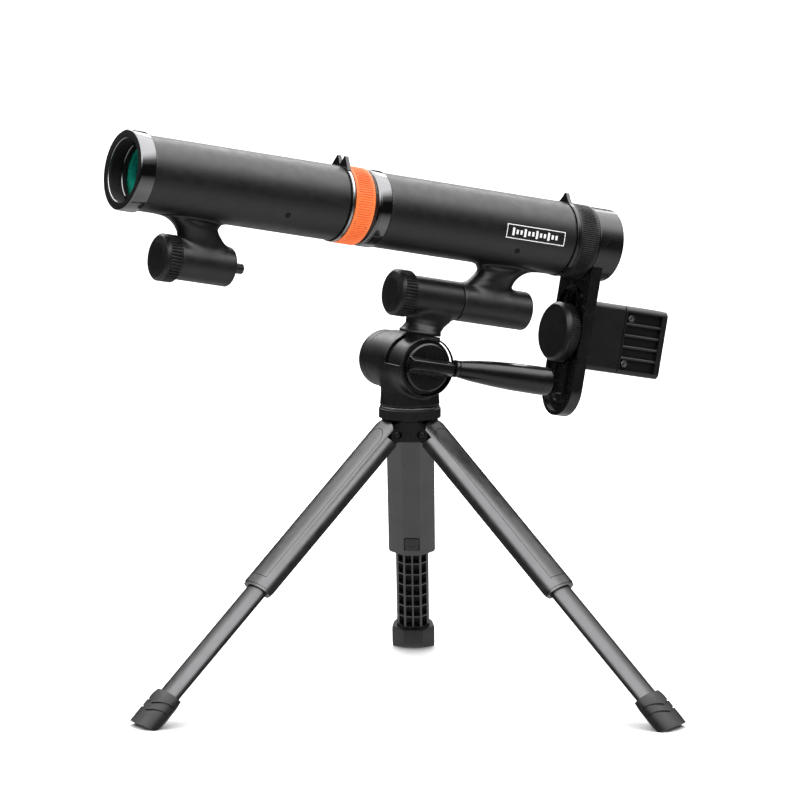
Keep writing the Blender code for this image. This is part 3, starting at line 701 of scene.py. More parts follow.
def upper_legs():
    """Hollow upper legs with the hinge tongue, the cover's recess and a stepped lower lip."""
    body = prism(leg_section(UPPER_SECTION), LEG_TOP, LEG_END - 1.6)
    plan = [(LEG_END + 1, -20), (LEG_END + 1, 20)] + arc((8.6, 0.0), (13.6, 14.6), 90, 180, 32)
    keep(body, prism(plan, -12, 14, "Z"))
    cut(body, box(-8, 6, -20, 20, -10, 5.0))
    tongue = [(9.0, -5.5), (9.0, 6.0), (0.0, 5.2)] + arc((0.0, 0.0), (4.7, 4.7), 100, 155, 19)
    join(body, prism(tongue, -6.7, 6.7, "Y"))
    join(body, prism(leg_section(UPPER_SECTION, -0.45), LEG_END - 1.8, LEG_END))
    cut(body, prism(leg_section(LOWER_SECTION, 0.35), 24.0, LEG_END + 1))
    cut(body, rod(-12, 12, PIN_BORE, "Y", segments=32))
    cut(body, prism(rounded_rectangle(6.8, 4.9, 1.2, (BUTTON_STATION, 0.0)), -9.0, -3.5, "Z"))
    recess = prism(panel_plan(0.35), -2, 14, "Z")
    cut(recess, prism(leg_section(UPPER_SECTION, -0.95), -20, 140))
    cut(body, recess)
    soften(body, 0.35, 2, 30.0)
    on_each_leg(body, "leg_paint", "upper_leg")


def leg_covers():
    """Long curved covers with a fine edge all round."""
    body = prism(leg_section(UPPER_SECTION, -0.05), 0, 122)
    cut(body, prism(leg_section(UPPER_SECTION, -0.65), -20, 140))
    keep(body, prism(panel_plan(), 1.5, 14, "Z"))
    soften(body, 0.22, 2, 30.0)
    on_each_leg(body, "leg_paint", "leg_panel")


def lower_legs():
    """Sliding legs with rows of lightening pockets on the inner side, and painted shade on the pocket floors.
    """
    body = prism(leg_section(LOWER_SECTION), LOWER_TOP, LOWER_END)
    first_row, rows, pitch, wall = 126.5, 7, 11.6, 1.2
    columns = ((-8.7, -5.7, 0.6), (-4.4, -0.5, -1.0), (0.5, 4.4, -1.0), (5.7, 8.7, 0.6))
    pockets = []
    for row in range(rows):
        start = first_row + row * pitch
        pockets += [(start, start + pitch - wall, low, high, -7.0, depth) for low, high, depth in columns]
    cut(body, boxes(pockets))
    soften(body, 0.18, 2, 30.0)
    on_each_leg(body, "leg_paint", "lower_leg")
    # Thin near-black slabs on the pocket floors are painted shade inside the pockets.
    floors = boxes([(x0 + 0.2, x1 - 0.2, y0 + 0.2, y1 - 0.2, depth - 0.12, depth + 0.2)
                    for x0, x1, y0, y1, _, depth in pockets])
    for number, piece in zip(LEGS, copies(floors)):
        add_to(piece, f"painted_pocket_shade_{number}", "black_paint_and_painted_shade", leg_frame(number), f"lower_leg_{number}")


def feet():
    """Rubber boots with chevron grooves, a rounded sole and a raised toe."""
    sections = []
    rows = ((FOOT_TOP, 12.8, -5.4, 7.7), (212.0, 13.4, -6.0, 8.3), (226.0, 13.4, -6.4, 8.4),
            (234.5, 13.0, -6.4, 8.3), (236.4, 12.7, -6.4, 8.2))
    for station, half_width, inner, crown in rows:
        outline = leg_section((half_width, 6.0, inner, -1.6, crown, 2.6))
        sections.append([(station, y, z) for y, z in outline])
    body = loft(sections)
    cut(body, prism(leg_section(LOWER_SECTION, 0.2), FOOT_TOP - 1, LOWER_END + 0.5))
    for station in (213.6, 219.1):
        groove = prism([(station, -15), (station + 5.0, 0), (station, 15), (station + 1.5, 15),
                        (station + 6.5, 0), (station + 1.5, -15)], 0.5, 14, "Z")
        cut(groove, prism(leg_section((12.75, 6.0, -5.6, -1.6, 7.65, 2.6)), 200, 260))
        cut(body, groove)
    # The sole is cut in the hub's frame, where the floor is level: leg 2 points along -x there.
    lean = leg_frame(2).inverted() @ PAN @ Matrix.Rotation(math.pi, 4, "Z")
    lean.translation = lean.translation / MM
    drop = PAN.translation.z / MM
    profile = [(142.1, 18.9), (172.1, 0.1), (178.6, 0.1), (195.3, 9.5), (195.3, -60), (142.1, -60)]
    below = prism([(radius, height - drop) for radius, height in profile], -40, 40, "Y")
    below.data.transform(lean)
    cut(body, below)
    soften(body, 0.35, 3, 28.0)
    on_each_leg(body, "foot_rubber", "foot")


def lock_buttons():
    """Push buttons with a small sunk arch."""
    body = prism(rounded_rectangle(6.3, 4.4, 1.1), -6.35, -4.8, "Z")
    arch = arc((0.0, 0.0), (2.0, 2.6), -60, 120, 12)
    arch += [(x * 0.7, y * 0.75) for x, y in reversed(arch)]
    cut(body, prism(arch, -6.6, -6.15, "Z"))
    soften(body, 0.22, 2, 30.0)
    on_each_leg(body, "moulded_black", "lock_button", BUTTON_STATION)


# --------------------------------------------------------------------- head --
HOUSING_AXIS = (JOINTS["tilt"]["pos_m"][2] - JOINTS["pan"]["pos_m"][2]) / MM
LEG_TURNS = (60.0, 180.0, 300.0)


def hub_skin():
    """Leg hub: round rim, skirt and three pairs of hinge lugs, drawn from its top face down."""
    path = [(-19.5, 6.8), (-19.5, 17.0, 0.8), (-6.1, 17.0, 0.3), (-6.1, 18.65, 0.4), (-0.4, 18.65, 0.5),
            (-0.05, 17.9, 0.2), (-0.05, 4.3), (-11.3, 4.3), (-11.3, 6.8)]
    body = turned(path, axis="Z", segments=128)
    turns = [Matrix.Rotation(math.radians(azimuth), 4, "Z") for azimuth in LEG_TURNS]
    for turn in turns:
        slot_room = box(8.6, 20, -7.0, 7.0, -28, -5.9)
        cover_room = prism([(11.8, -6.1), (25.9, -20.1), (30, -20.1), (30, -6.1)], -12.6, 12.6, "Y")
        for room in (slot_room, cover_room):
            room.data.transform(turn)
            cut(body, room)
    pivot = Vector((14.1, -14.9))
    outline = [(7.5, -4.3), (13.0, -4.3)] + arc(pivot, (4.55, 4.55), 95, -185, 18)
    outline += [(9.5, -18.9), (7.5, -18.9)]
    for turn in turns:
        for near, far in ((-10.6, -7.0), (7.0, 10.6)):
            lug = prism(outline, near, far, "Y")
            lug.data.transform(turn)
            join(body, lug)
    for turn in turns:
        hole = rod(-12, 12, PIN_BORE, "Y", (pivot.x, 0, pivot.y), 32)
        hole.data.transform(turn)
        cut(body, hole)
    soften(body, 0.3, 2, 32.0)
    stand_for(body, "moulded_black", PAN, "hub")


def hinge_pins():
    """Pins with slightly domed ends."""
    on_each_leg(rod(-10.55, 10.55, 2.0, "Y", segments=48, edge=0.5), "dark_steel", "hinge_pin")


def washer_skin():
    """Thin bright ring between hub and head."""
    outline = [(0.3, 4.4), (0.3, 18.0), (1.1, 18.0), (1.1, 4.4)]
    stand_for(turned(outline, 0.15, axis="Z", segments=128), "bare_edge", PAN, "pan_washer")


def pan_body_skin():
    """Neck blended into the open-topped round housing of the tilt drum."""
    heights = (1.4, 2.0, 5.0, 10.0, 16.0, 24.0)
    radii = (17.5, 18.0, 17.7, 17.4, 17.8, 17.9)

    def field(x, y, z):
        column = np.hypot(x, y) - np.interp(z, heights, radii)
        ends = np.maximum(1.4 - z, z - 24.0)
        column = -smooth_union(-column, -ends, 1.4)
        housing = bar_field(y, x, z - HOUSING_AXIS, -22.15, 21.25, 18.15, 1.0)
        body = smooth_union(column, housing, 2.2)
        chamber = bar_field(y, x, z - HOUSING_AXIS, -26.0, -0.9, 17.25, 0.1)
        shaft_hole = bar_field(y, x, z - HOUSING_AXIS, -26.0, 26.0, 6.4, 0.1)
        window = np.maximum(np.maximum(-19.7 - y, y + 1.2), HOUSING_AXIS + 2.0 - z)
        bolt_hole = np.maximum(np.hypot(x, y) - 4.3, z - 7.6)
        for gap in (chamber, shaft_hole, window, bolt_hole):
            body = smooth_cut(body, gap, 0.5)
        return body

    body = casting(field, (-19.5, -23.5, 0.5), (19.5, 22.5, 46.0), 0.6)
    stand_for(body, "moulded_black", PAN, "pan_body", sharp=50.0)


def drum_skin():
    """Drum inside the housing, with a milled pedestal."""
    outline = [(-19.3, 6.1), (-19.3, 17.0, 0.6), (-3.2, 17.0, 0.5), (-3.0, 15.4), (-1.3, 15.4), (-1.3, 6.1)]
    drum = turned(outline, 0.1, axis="Y", segments=128)
    join(drum, prism(rounded_rectangle(8.0, 8.25, 1.5, (0.0, -10.15)), 12.0, 18.6, "Z"))
    cut(drum, rod(9, 30, SCREW_BORE, "Z", (0, TUBE_SIDE, 0), 48))
    stand_for(drum, "moulded_black", TILT, "tilt_drum")


def tilt_cap_skin():
    """Far cap: two plain bands with a fine groove and a shallow dished face."""
    path = rounded([(21.6, 6.1), (21.6, 17.2, 0.4), (25.0, 17.2), (25.3, 16.9), (25.6, 17.2),
                    (32.8, 17.2, 1.2), (33.75, 14.5, 0.6), (33.2, 13.6, 0.3), (33.2, 0.0), (33.0, 0.0),
                    (33.0, 6.1)], 0.1)
    stand_for(revolve(path, "Y", segments=128, closed=False), "moulded_black", TILT, "tilt_cap")


def handle_root_skin():
    """Round plate with a bevelled raised bar for the handle's stud."""
    outline = [(-22.8, 0.0), (-22.8, 13.6, 0.3), (-22.2, 14.7, 0.5), (-19.6, 14.7, 0.3), (-19.6, 0.0)]
    plate = turned(outline, 0.1, axis="Y", segments=128)
    bar = prism([(-22.5, -4.6), (-22.5, 5.8), (-30.6, 4.0), (-30.6, -1.6)], -14.4, 14.1)
    soften(bar, 0.7, 3, 20.0)
    cut(bar, rod(5.3, 15.3, 2.1, "X", (0, -27.7, 2.0), 40))
    join(plate, bar)
    stand_for(plate, "satin_black", TILT, "handle_root")


def handle_skin():
    """Stud with its collar, and the tapered grip."""
    stud = [(5.7, 0), (5.7, 1.8, 0.3), (14.4, 1.8), (14.4, 5.2, 0.6), (16.6, 5.2, 0.6), (16.6, 2.4),
            (37.3, 2.4, 0.4), (37.3, 0)]
    stand_for(turned(stud, 0.05, segments=64), "satin_black", HANDLE, "handle_stud")
    grip = rounded([(16.9, 2.7), (16.9, 5.0, 0.5), (27.3, 6.4, 8.0), (42.0, 7.6, 10.0), (56.0, 8.3, 10.0),
                    (74.0, 8.6, 4.0), (80.45, 8.4, 1.3), (80.45, 0), (38.3, 0), (38.3, 2.7)], 0.05,
                   closed=False)
    stand_for(revolve(grip, segments=96), "grip_black", HANDLE, "handle_grip")


# ------------------------------------------------------- brackets and tubes --
TUBE_SIDE = -6.0
TUBE_RADIUS = 22.3
TUBE_BORE = 20.3
BARREL_RADIUS = 11.7
SCREW_BORE = 3.5
BARREL_DROP = (BARREL.inverted() @ TUBE.translation).z / -MM
NECK_HEIGHTS = (-43.0, -35.0, -32.0, -28.6, -26.0, -24.0, -22.4, -14.0)
NECK_NEAR = (-8.2, -8.0, -4.6, -1.6, -0.2, -1.6, -3.0, -3.0)
NECK_HALF_WIDTH = (9.0, 8.6, 8.6, 9.0, 9.3, 9.0, 8.2, 5.0)
ARCH_CENTRE = (40.9, -35.0)
ARCH_HALF = (17.0, 12.7)


def neck(x, y, z, notch, facing):
    """Bracket neck: a notched near side and a large open arch on the far side."""
    near = np.interp(z, NECK_HEIGHTS, NECK_NEAR)
    lift = np.clip((z - ARCH_CENTRE[1]) / ARCH_HALF[1], 0.0, 1.0)
    far = ARCH_CENTRE[0] - ARCH_HALF[0] * np.sqrt(1.0 - lift ** 2)
    half_width = np.interp(z, NECK_HEIGHTS, NECK_HALF_WIDTH)
    length = (far - near) / 2
    along = facing * (x - notch) - (near + far) / 2
    across = (np.hypot(along / length, y / half_width) - 1.0) * np.minimum(length, half_width)
    ends = np.maximum(NECK_HEIGHTS[0] - z, z - NECK_HEIGHTS[-1])
    return np.maximum(across, ends)


def tube_skin(host, start, end, notch, facing, barrel_start, barrel_end, bore_end):
    """Tube shell flowing into its bracket neck and hinge barrel."""
    def field(x, y, z):
        tube = bar_field(x, y, z, start, end, TUBE_RADIUS, 0.6)
        barrel = bar_field(x, y, z - BARREL_DROP, barrel_start, barrel_end, BARREL_RADIUS, 0.8)
        body = smooth_union(tube, neck(x, y, z, notch, facing), 1.6)
        body = smooth_union(body, barrel, 2.2)
        inside = bar_field(x, y, z, start - 9, end + 9, TUBE_BORE, 0.1)
        hole = bar_field(x, y, z - BARREL_DROP, barrel_start - 9, bore_end, SCREW_BORE, 0.1)
        return smooth_cut(smooth_cut(body, inside, 0.4), hole, 0.4)

    low = (start - 1, -24.0, BARREL_DROP - BARREL_RADIUS - 2)
    high = (end + 1, 24.0, 24.0)
    stand_for(casting(field, low, high, 0.8), "tube_coat", TUBE, host, sharp=50.0)


def adapter_skin():
    """Bracket between the head and the telescope: round foot, waisted neck and barrel."""
    heights = (18.9, 20.2, 21.6, 24.5, 28.0, 31.0, 38.0)
    middles = (0.0, 0.0, 0.6, 2.4, 4.0, 4.2, 4.2)
    lengths = (12.6, 12.6, 12.0, 12.2, 14.4, 16.0, 16.0)
    widths = (12.6, 12.6, 11.4, 9.8, 9.0, 9.0, 8.6)
    start, end = -12.6, 20.6
    rise = (TILT.inverted() @ BARREL.translation).z / MM

    def field(x, y, z):
        shifted = y - TUBE_SIDE
        length = np.interp(z, heights, lengths)
        width = np.interp(z, heights, widths)
        plan = np.hypot((x - np.interp(z, heights, middles)) / length, shifted / width) - 1.0
        ends = np.maximum(heights[0] - z, z - heights[-1])
        column = np.maximum(plan * np.minimum(length, width), ends)
        barrel = bar_field(x, shifted, z - rise, start, end, BARREL_RADIUS, 0.6)
        body = smooth_union(column, barrel, 1.8)
        body = smooth_cut(body, end - x, 0.3)
        hole = bar_field(x, shifted, z - rise, start - 9, end + 9, SCREW_BORE, 0.1)
        stud_hole = np.maximum(np.hypot(x, shifted) - SCREW_BORE, z - 27.5)
        return smooth_cut(smooth_cut(body, hole, 0.4), stud_hole, 0.4)

    body = casting(field, (-14.0, -20.0, 18.0), (22.0, 8.0, 55.0), 0.6)
    stand_for(body, "moulded_black", TILT, "adapter", sharp=50.0)


def tubes():
    """Both tubes with their brackets."""
    tube_skin("front_tube", -203.5, -73.0, -147.0, -1, -171.4, -135.4, -134.0)
    tube_skin("rear_tube", -45.1, 84.3, 33.3, 1, 20.9, 68.9, 39.0)


def set_screws():
    """One small near-black disc low on the near side of each tube: a set screw whose darkness is partly the
    screw's own black and partly painted shade of its hole.
    """
    height = -11.0
    side = -math.sqrt(TUBE_RADIUS ** 2 - height ** 2)
    turn = Matrix.Rotation(math.atan2(height, side), 4, "X") @ Matrix.Rotation(math.pi / 2, 4, "Z")
    for host, station in (("front_tube", -112.0), ("rear_tube", 46.0)):
        local = TUBE @ Matrix.Translation((station * MM, side * MM, height * MM)) @ turn
        # The near-black disc is partly the screw's black and partly painted shade of its hole.
        add_to(rod(-0.6, 0.07, 1.8, segments=32), f"{host}_set_screw", "black_paint_and_painted_shade", local, host)


def knob_skin(host, start, local):
    """Thumb knob: plain domed end and a band of straight ribs."""
    length, radius, plain = 12.0, 14.0, 3.9
    change, segments = ribs(44, 0.9, start + plain, start + length + 1.0, 0.5)
    points = [(0.0, 0.0), (0.2, 8.0, 6.0), (1.3, 12.4, 2.0), (2.9, radius, 1.2), (plain - 0.4, radius),
              (plain, radius - 0.25), (plain + 0.3, radius), (plain + 1.0, radius), (length - 0.8, radius),
              (length, radius - 0.6), (length, SCREW_BORE), (5.0, SCREW_BORE), (5.0, 0.0)]
    knob = turned(shifted_by(start, points), segments=segments, offset=change)
    stand_for(knob, "moulded_black", local, host)


def knobs_and_screws():
    knob_skin("adapter_knob", -24.9, BARREL)
    knob_skin("front_knob", -183.7, BARREL)
    for host, start, end in (("adapter_screw", -19.2, 36.0), ("front_screw", -178.0, -125.8)):
        stand_for(rod(start, end, 3.1, segments=48, edge=0.9), "dark_steel", BARREL, host)


# ------------------------------------------------------------ optical rings --
def ring(host, path, finish, segments=160, offset=None, sharp=34.0):
    stand_for(revolve(path, segments=segments, offset=offset), finish, TUBE, host, sharp=sharp)


def front_ring_skin():
    """Dark chrome shell around a black stepped mouth with nine thread turns."""
    face, radius, length, threads = -213.8, 23.7, 10.0, 9
    shell = [(0.0, 22.6), (0.0, 23.2, 0.2), (0.7, radius, 0.4), (length, radius, 0.3), (length, 20.0),
             (20.4, 20.0), (20.4, 19.2), (9.0, 19.2), (1.6, 22.6)]
    ring("front_ring", rounded(shifted_by(face, shell), 0.05), "dark_chrome")
    mouth = [(9.0, 19.15), (1.6, 22.5), (0.15, 22.5), (0.05, 22.3), (0.05, 19.4), (0.6, 18.9), (1.4, 18.8)]
    for turn in range(threads):
        mouth += [(1.6 + turn * 0.8, 18.5), (2.0 + turn * 0.8, 18.1)]
    mouth += [(9.0, 18.4), (9.0, 16.6), (11.4, 16.2), (11.4, 19.15)]
    bevel = [(0.2, 19.5), (0.2, 19.3), (0.9, 18.7), (1.1, 18.7), (1.1, 19.5)]
    lock = [(8.6, 17.9), (8.6, 17.2), (9.1, 16.8), (9.3, 16.8), (9.3, 17.9)]
    details = ((mouth, "front_ring_mouth", "black_paint_and_painted_shade"), (bevel, "front_ring_bevel", "bare_edge"),
               (lock, "front_lens_lock_ring", "dark_chrome"))
    for points, name, finish in details:
        add_to(revolve(shifted_by(face, points), segments=160), name, finish, TUBE, "front_ring")


def lens_skin(host, middle, radius, edge, bulge):
    """Ground lens with smooth round faces."""
    steps = 16
    shares = [step / steps for step in range(steps + 1)]
    path = [(middle - edge / 2 - bulge * (1 - share ** 2), radius * share) for share in shares]
    path += [(middle + edge / 2 + bulge * (1 - share ** 2), radius * share) for share in reversed(shares)]
    stand_for(revolve(path, segments=96, closed=False), "coated_glass", TUBE, host, sharp=40.0)


def lenses():
    lens_skin("front_objective", -200.1, 17.2, 3.0, 1.9)
    lens_skin("rear_objective", -41.0, 17.2, 3.0, 1.5)
    lens_skin("front_eye_lens", -68.5, 13.6, 2.0, 1.5)
    lens_skin("rear_eye_lens", 97.5, 13.6, 2.0, 1.5)


def front_sight():
    """Thin bright band between black faces, with two sharp bevelled teeth."""
    start, end = -72.65, -70.35
    body = revolve([(start, 19.6), (start, 22.7), (start + 0.15, 22.9), (end - 0.15, 22.9), (end, 22.7),
                    (end, 19.6)], segments=160)
    for side in (-1, 1):
        outline = [(side * 11.0, 20.6), (side * 4.9, 28.5), (side * 3.9, 28.5), (side * -0.2, 22.9),
                   (side * -0.2, 20.6)]
        join(body, prism(outline, start, end))
    soften(body, 0.16, 2, 40.0)
    stand_for(body, "satin_black", TUBE, "front_sight_ring")
    start += 0.5
    end -= 0.5
    band = turned([(start, 22.0), (start, 22.98), (end, 22.98), (end, 22.0)], 0.1, segments=160)
    add_to(band, "front_sight_band", "bare_edge", TUBE, "front_sight_ring")


def rear_sight():
    """Ring with the pointed blade."""
    start, end = 84.6, 86.9
    body = revolve([(start, 19.6), (start, 22.6), (84.8, 22.8), (86.7, 22.8), (end, 22.6), (end, 19.6)],
                   segments=160)
    rise = [(8.5, 20.6), (6.0, 22.4), (4.0, 24.0), (2.2, 26.0), (1.0, 27.6)]
    blade = [(-y, z) for y, z in rise] + [(0.0, 28.1)] + rise[::-1]
    join(body, prism(blade, start, end))
    soften(body, 0.18, 2, 40.0)
    stand_for(body, "satin_black", TUBE, "rear_sight_ring")


def focus_ring(host, finish, start, end, tip, count, margin):
    """Ring of fine ribs between two plain edges; margin is where the ribbed rows begin."""
    change, segments = ribs(count, 0.60, start + margin + 0.1, end - margin - 0.1, 0.35)
    path = [(start, 19.5), (start, tip - 0.3), (start + 0.3, tip)]
    path += [(start + margin + step * (end - start - 2 * margin) / 8, tip) for step in range(9)]
    path += [(end - 0.3, tip), (end, tip - 0.3), (end, 19.5)]
    ring(host, path, finish, segments, change, sharp=28.0)


def focus_rings():
    """Orange ribbed ring and the finely knurled black one."""
    focus_ring("front_focus_ring", "orange_ring", -69.95, -57.05, 23.15, 96, 0.9)
    focus_ring("rear_focus_ring", "moulded_black", 87.25, 100.85, 22.45, 110, 0.8)


def eye_barrels():
    """Fixed eye barrels: brown grooved collar in front, rubber eye cup behind."""
    collar = [(0.0, 19.3), (0.0, 22.6, 0.2), (0.7, 22.6), (0.9, 22.0), (1.2, 22.0), (1.4, 22.6),
              (1.95, 22.6, 0.2), (1.95, 19.3)]
    band = turned(shifted_by(-56.7, collar), segments=160)
    add_to(band, "front_eye_collar", "umber_groove", TUBE, "front_eyepiece")
    cup = [(74.0, 15.3), (74.0, 19.1), (101.0, 19.1), (101.0, 19.9), (118.4, 19.9, 0.6), (119.55, 18.6, 0.8),
           (119.4, 17.2, 0.5), (113.0, 13.6, 0.8), (111.0, 13.0), (108.6, 13.0), (108.6, 15.3)]
    ring("rear_eyepiece", rounded(cup, 0.1), "eyecup_rubber", 128)


def rear_ring_skin():
    """Polished ring with a bevelled front edge and a fine groove."""
    radius, length = 23.0, 9.0
    path = [(0.0, 18.0), (0.0, 22.2, 0.2), (0.8, radius, 0.3), (1.5, radius), (1.7, 22.8), (1.9, radius),
            (length, radius, 0.4), (length, 20.0), (20.4, 20.0), (20.4, 15.6), (15.5, 15.6), (15.5, 18.0)]
    ring("rear_ring", rounded(shifted_by(-54.4, path)), "dark_chrome")


# ------------------------------------------------------------- phone holder --
SLEEVE_START = 101.3
SLEEVE_END = 118.4
ARM_HALF = 17.5
ARM_THICKNESS = 7.2
ARM_FOOT = -106.5


def capsule(half_a, half_b, centre, steps=20):
    return rounded_rectangle(half_a, half_b, half_a - 0.01, centre, steps)


def phone_arm_skin():
    """Sleeve on the eye end with a long arm: raised rim, sunk face and a rimmed slot."""
    start = SLEEVE_START
    outline = [(-ARM_HALF, -10.0)]
    outline += arc((0.0, ARM_FOOT + ARM_HALF), (ARM_HALF, ARM_HALF), 180, 180, 36)
    outline.append((ARM_HALF, -10.0))
    arm = prism(outline, start, start + ARM_THICKNESS)
    slot = (0.0, ARM_FOOT + 43.4)
    cut(arm, prism(capsule(ARM_HALF - 2.2, 39.0, (0.0, ARM_FOOT + 41.2)), start - 1, start + 1.8))
    join(arm, prism(capsule(7.2, 35.7, slot), start + 0.2, start + 3.0))
    cut(arm, prism(capsule(5.9, 34.4, slot), start - 1, start + 1.2))
    cut(arm, prism(capsule(3.6, 32.0, slot), start - 1, start + ARM_THICKNESS + 1))
    sleeve = turned([(start, 0), (start, 22.0, 0.8), (SLEEVE_END, 22.0, 1.0), (SLEEVE_END, 0)], segments=144)
    join(sleeve, arm)
    cut(sleeve, rod(start - 1, SLEEVE_END + 1, TUBE_BORE, segments=144))
    soften(sleeve, 0.45, 3, 34.0)
    stand_for(sleeve, "satin_black", TUBE, "phone_arm")


def phone_knob_skin():
    """Large thumb nut: flat matt face, bevel and a finely ribbed edge."""
    start, length, radius = 91.35, 9.6, 18.0
    change, segments = ribs(80, 0.8, start + 3.2, start + length + 1.0, 0.4)
    points = [(0.0, 0.0), (0.0, 16.3, 0.3), (1.9, radius, 0.5), (3.0, radius), (3.2, 17.7), (3.5, radius),
              (length - 0.7, radius), (length, 17.4), (length, SCREW_BORE), (3.2, SCREW_BORE), (3.2, 0.0)]
    nut = turned(shifted_by(start, points), segments=segments, offset=change)
    stand_for(nut, "moulded_black", STUD, "phone_knob")
    stand_for(rod(94.9, 118.0, 3.1, segments=48, edge=0.6), "dark_steel", STUD, "phone_stud")


CLIP_START = 109.0
CLIP_SPLIT = 135.5
CLIP_END = 165.7
GUIDE_END = 155.0
ROD_SIDE = -2.0
ROD_HEIGHT = 10.5
CLIP_OUTLINE = rounded_rectangle(10.0, 20.8, 3.4, (0.0, 0.6), 10)


def clip_half(start, end, lip_start, lip_end):
    """Rounded half of the clip with its lip."""
    half = prism(CLIP_OUTLINE, start, end)
    soften(half, 0.5, 3, 50.0)
    return join(half, prism(rounded_rectangle(9.0, 13.0, 3.0, (17.0, 0.0), 10), lip_start, lip_end))


def clip_skins():
    """Fixed half with its guide block, and the moving half that slides on it."""
    fixed = clip_half(CLIP_START, CLIP_SPLIT - 0.15, CLIP_START + 0.02, CLIP_START + 5.0)
    join(fixed, box(CLIP_SPLIT - 2, GUIDE_END, -6.0, 6.0, -15.0, 15.0))
    moving = clip_half(CLIP_SPLIT + 0.15, CLIP_END, CLIP_END - 5.0, CLIP_END - 0.02)
    cut(moving, box(CLIP_SPLIT - 1, GUIDE_END + 0.6, -6.4, 6.4, -15.4, 15.4))
    for side in (-1, 1):
        centre = (0, ROD_SIDE, side * ROD_HEIGHT)
        cut(fixed, rod(112.0, GUIDE_END + 1, 1.8, "X", centre, 40))
        cut(moving, rod(GUIDE_END - 1, 161.4, 1.7, "X", centre, 40))
    cut(fixed, rod(CLIP_START - 1, 119.0, SCREW_BORE, segments=48))
    cut(moving, box(CLIP_SPLIT + 1.2, CLIP_END - 3.8, -12.0, -7.2, -17.2, 18.2))
    for piece, host in ((fixed, "clip_body"), (moving, "clip_slider")):
        soften(piece, 0.22, 2, 40.0)
        stand_for(piece, "moulded_black", STUD, host)


def clip_back():
    """Recess of the moving half: painted shade as a near-black slab on its floor, cross ribs and two hexagon
    screw heads.
    """
    start, end = CLIP_SPLIT + 0.6, CLIP_END - 3.4
    first, rows, pitch = -16.9, 5, 34.8 / 5
    # The near-black slab on the recess floor is painted shade.
    floor = box(start + 0.7, end - 0.5, -7.35, -7.1, -17.1, 18.1)
    add_to(floor, "clip_recess_painted_shade", "black_paint_and_painted_shade", STUD, "clip_slider")
    for row in range(1, rows):
        height = first + row * pitch
        bar = rod(start, end, 0.85, "X", (0, -8.7, height), 24)
        join(bar, box(start, end, -8.7, -6.9, height - 0.5, height + 0.5))
        add_to(bar, f"clip_rib_{row}", "dark_steel", STUD, "clip_slider")
    outline = [(-7.2, 0.0), (-7.2, 2.5), (-8.9, 2.5, 0.4), (-8.9, 1.2), (-8.2, 1.0), (-8.2, 0.0)]
    for row in (0, rows - 1):
        centre = (start + 4.6, 0, first + (row + 0.5) * pitch)
        head = turned(outline, 0.1, axis="Y", centre=centre, segments=6)
        add_to(head, f"clip_screw_{row}", "pin_steel", STUD, "clip_slider", sharp=20.0)


def clip_rods_and_pads():
    """Guide rods of the moving half and the rubber pads on both lips."""
    for host, side in (("clip_rod_upper", 1), ("clip_rod_lower", -1)):
        bar = rod(112.5, 161.0, 1.5, "X", (0, ROD_SIDE, side * ROD_HEIGHT), 40, 0.3)
        stand_for(bar, "pin_steel", STUD, host)
    for host, start in (("clip_pad_fixed", CLIP_START + 5.3), ("clip_pad_moving", CLIP_END - 6.9)):
        pad = prism(rounded_rectangle(7.0, 11.0, 2.0, (18.0, 0.0), 8), start, start + 1.6)
        soften(pad, 0.3, 2, 50.0)
        stand_for(pad, "foot_rubber", STUD, host)


# ---------------------------------------------------------- maker's-mark band --
def printed_patch(x0, x1, z0, z1, steps=6):
    """Thin closed patch of ink lying on the near side of the tube."""
    sections = []
    for step in range(steps + 1):
        z = z0 + (z1 - z0) * step / steps
        outer = -math.sqrt((TUBE_RADIUS + 0.04) ** 2 - z ** 2)
        inner = -math.sqrt((TUBE_RADIUS - 0.3) ** 2 - z ** 2)
        sections.append([(x0, outer, z), (x1, outer, z), (x1, inner, z), (x0, inner, z)])
    return loft(sections)


def neutral_mark():
    """Plain printed ornament: a long frame around a row of short bars. It holds no letters."""
    left, right, low, high, line = 35.0, 76.0, -4.0, 4.6, 0.5
    patches = [(left, right, high - line, high), (left, right, low, low + line),
               (left, left + line, low, high), (right - line, right, low, high)]
    count, margin, middle = 12, 4.0, 0.3
    for index in range(count):
        x = left + margin + index * (right - left - 2 * margin) / count
        tall = 1.3 if index % 3 else 2.4
        patches.append((x, x + 1.5, middle - tall, middle + tall))
    for index, patch in enumerate(patches):
        add_to(printed_patch(*patch), f"tube_ornament_{index}", "white_print", TUBE, "rear_tube", sharp=20.0)


BUILDERS = (
    upper_legs, leg_covers, lower_legs, feet, lock_buttons, hub_skin, hinge_pins, washer_skin, pan_body_skin,
    drum_skin, tilt_cap_skin, handle_root_skin, handle_skin, tubes, set_screws, adapter_skin,
    knobs_and_screws,
    front_ring_skin, lenses, front_sight, rear_sight, focus_rings, eye_barrels, rear_ring_skin,
    phone_arm_skin, phone_knob_skin, clip_skins, clip_back, clip_rods_and_pads, neutral_mark,
)


# ------------------------------------------------------------------- stage --
CAMERA_AZIMUTH = math.radians(-29.11)
CAMERA_ELEVATION = math.radians(7.85)
CAMERA_DISTANCE = 3.240
CAMERA_LENS_MM = 243.0
LOOK_LEFT = 0.005886
LOOK_HEIGHT = 0.18243
FLOOR_RADIUS = 30.0
FLOOR_SIDES = 96
# Height of a direction (-1 straight down, 1 straight up) and the light that comes from it.
SKY_STEPS = ((-1.0, 0.42), (-0.70, 0.62), (-0.40, 0.40), (-0.16, 0.02),
             (0.28, 0.02), (0.46, 0.40), (0.66, 2.90), (1.0, 3.00))
SKY_PEAK = 3.0
BACKDROP = 0.95


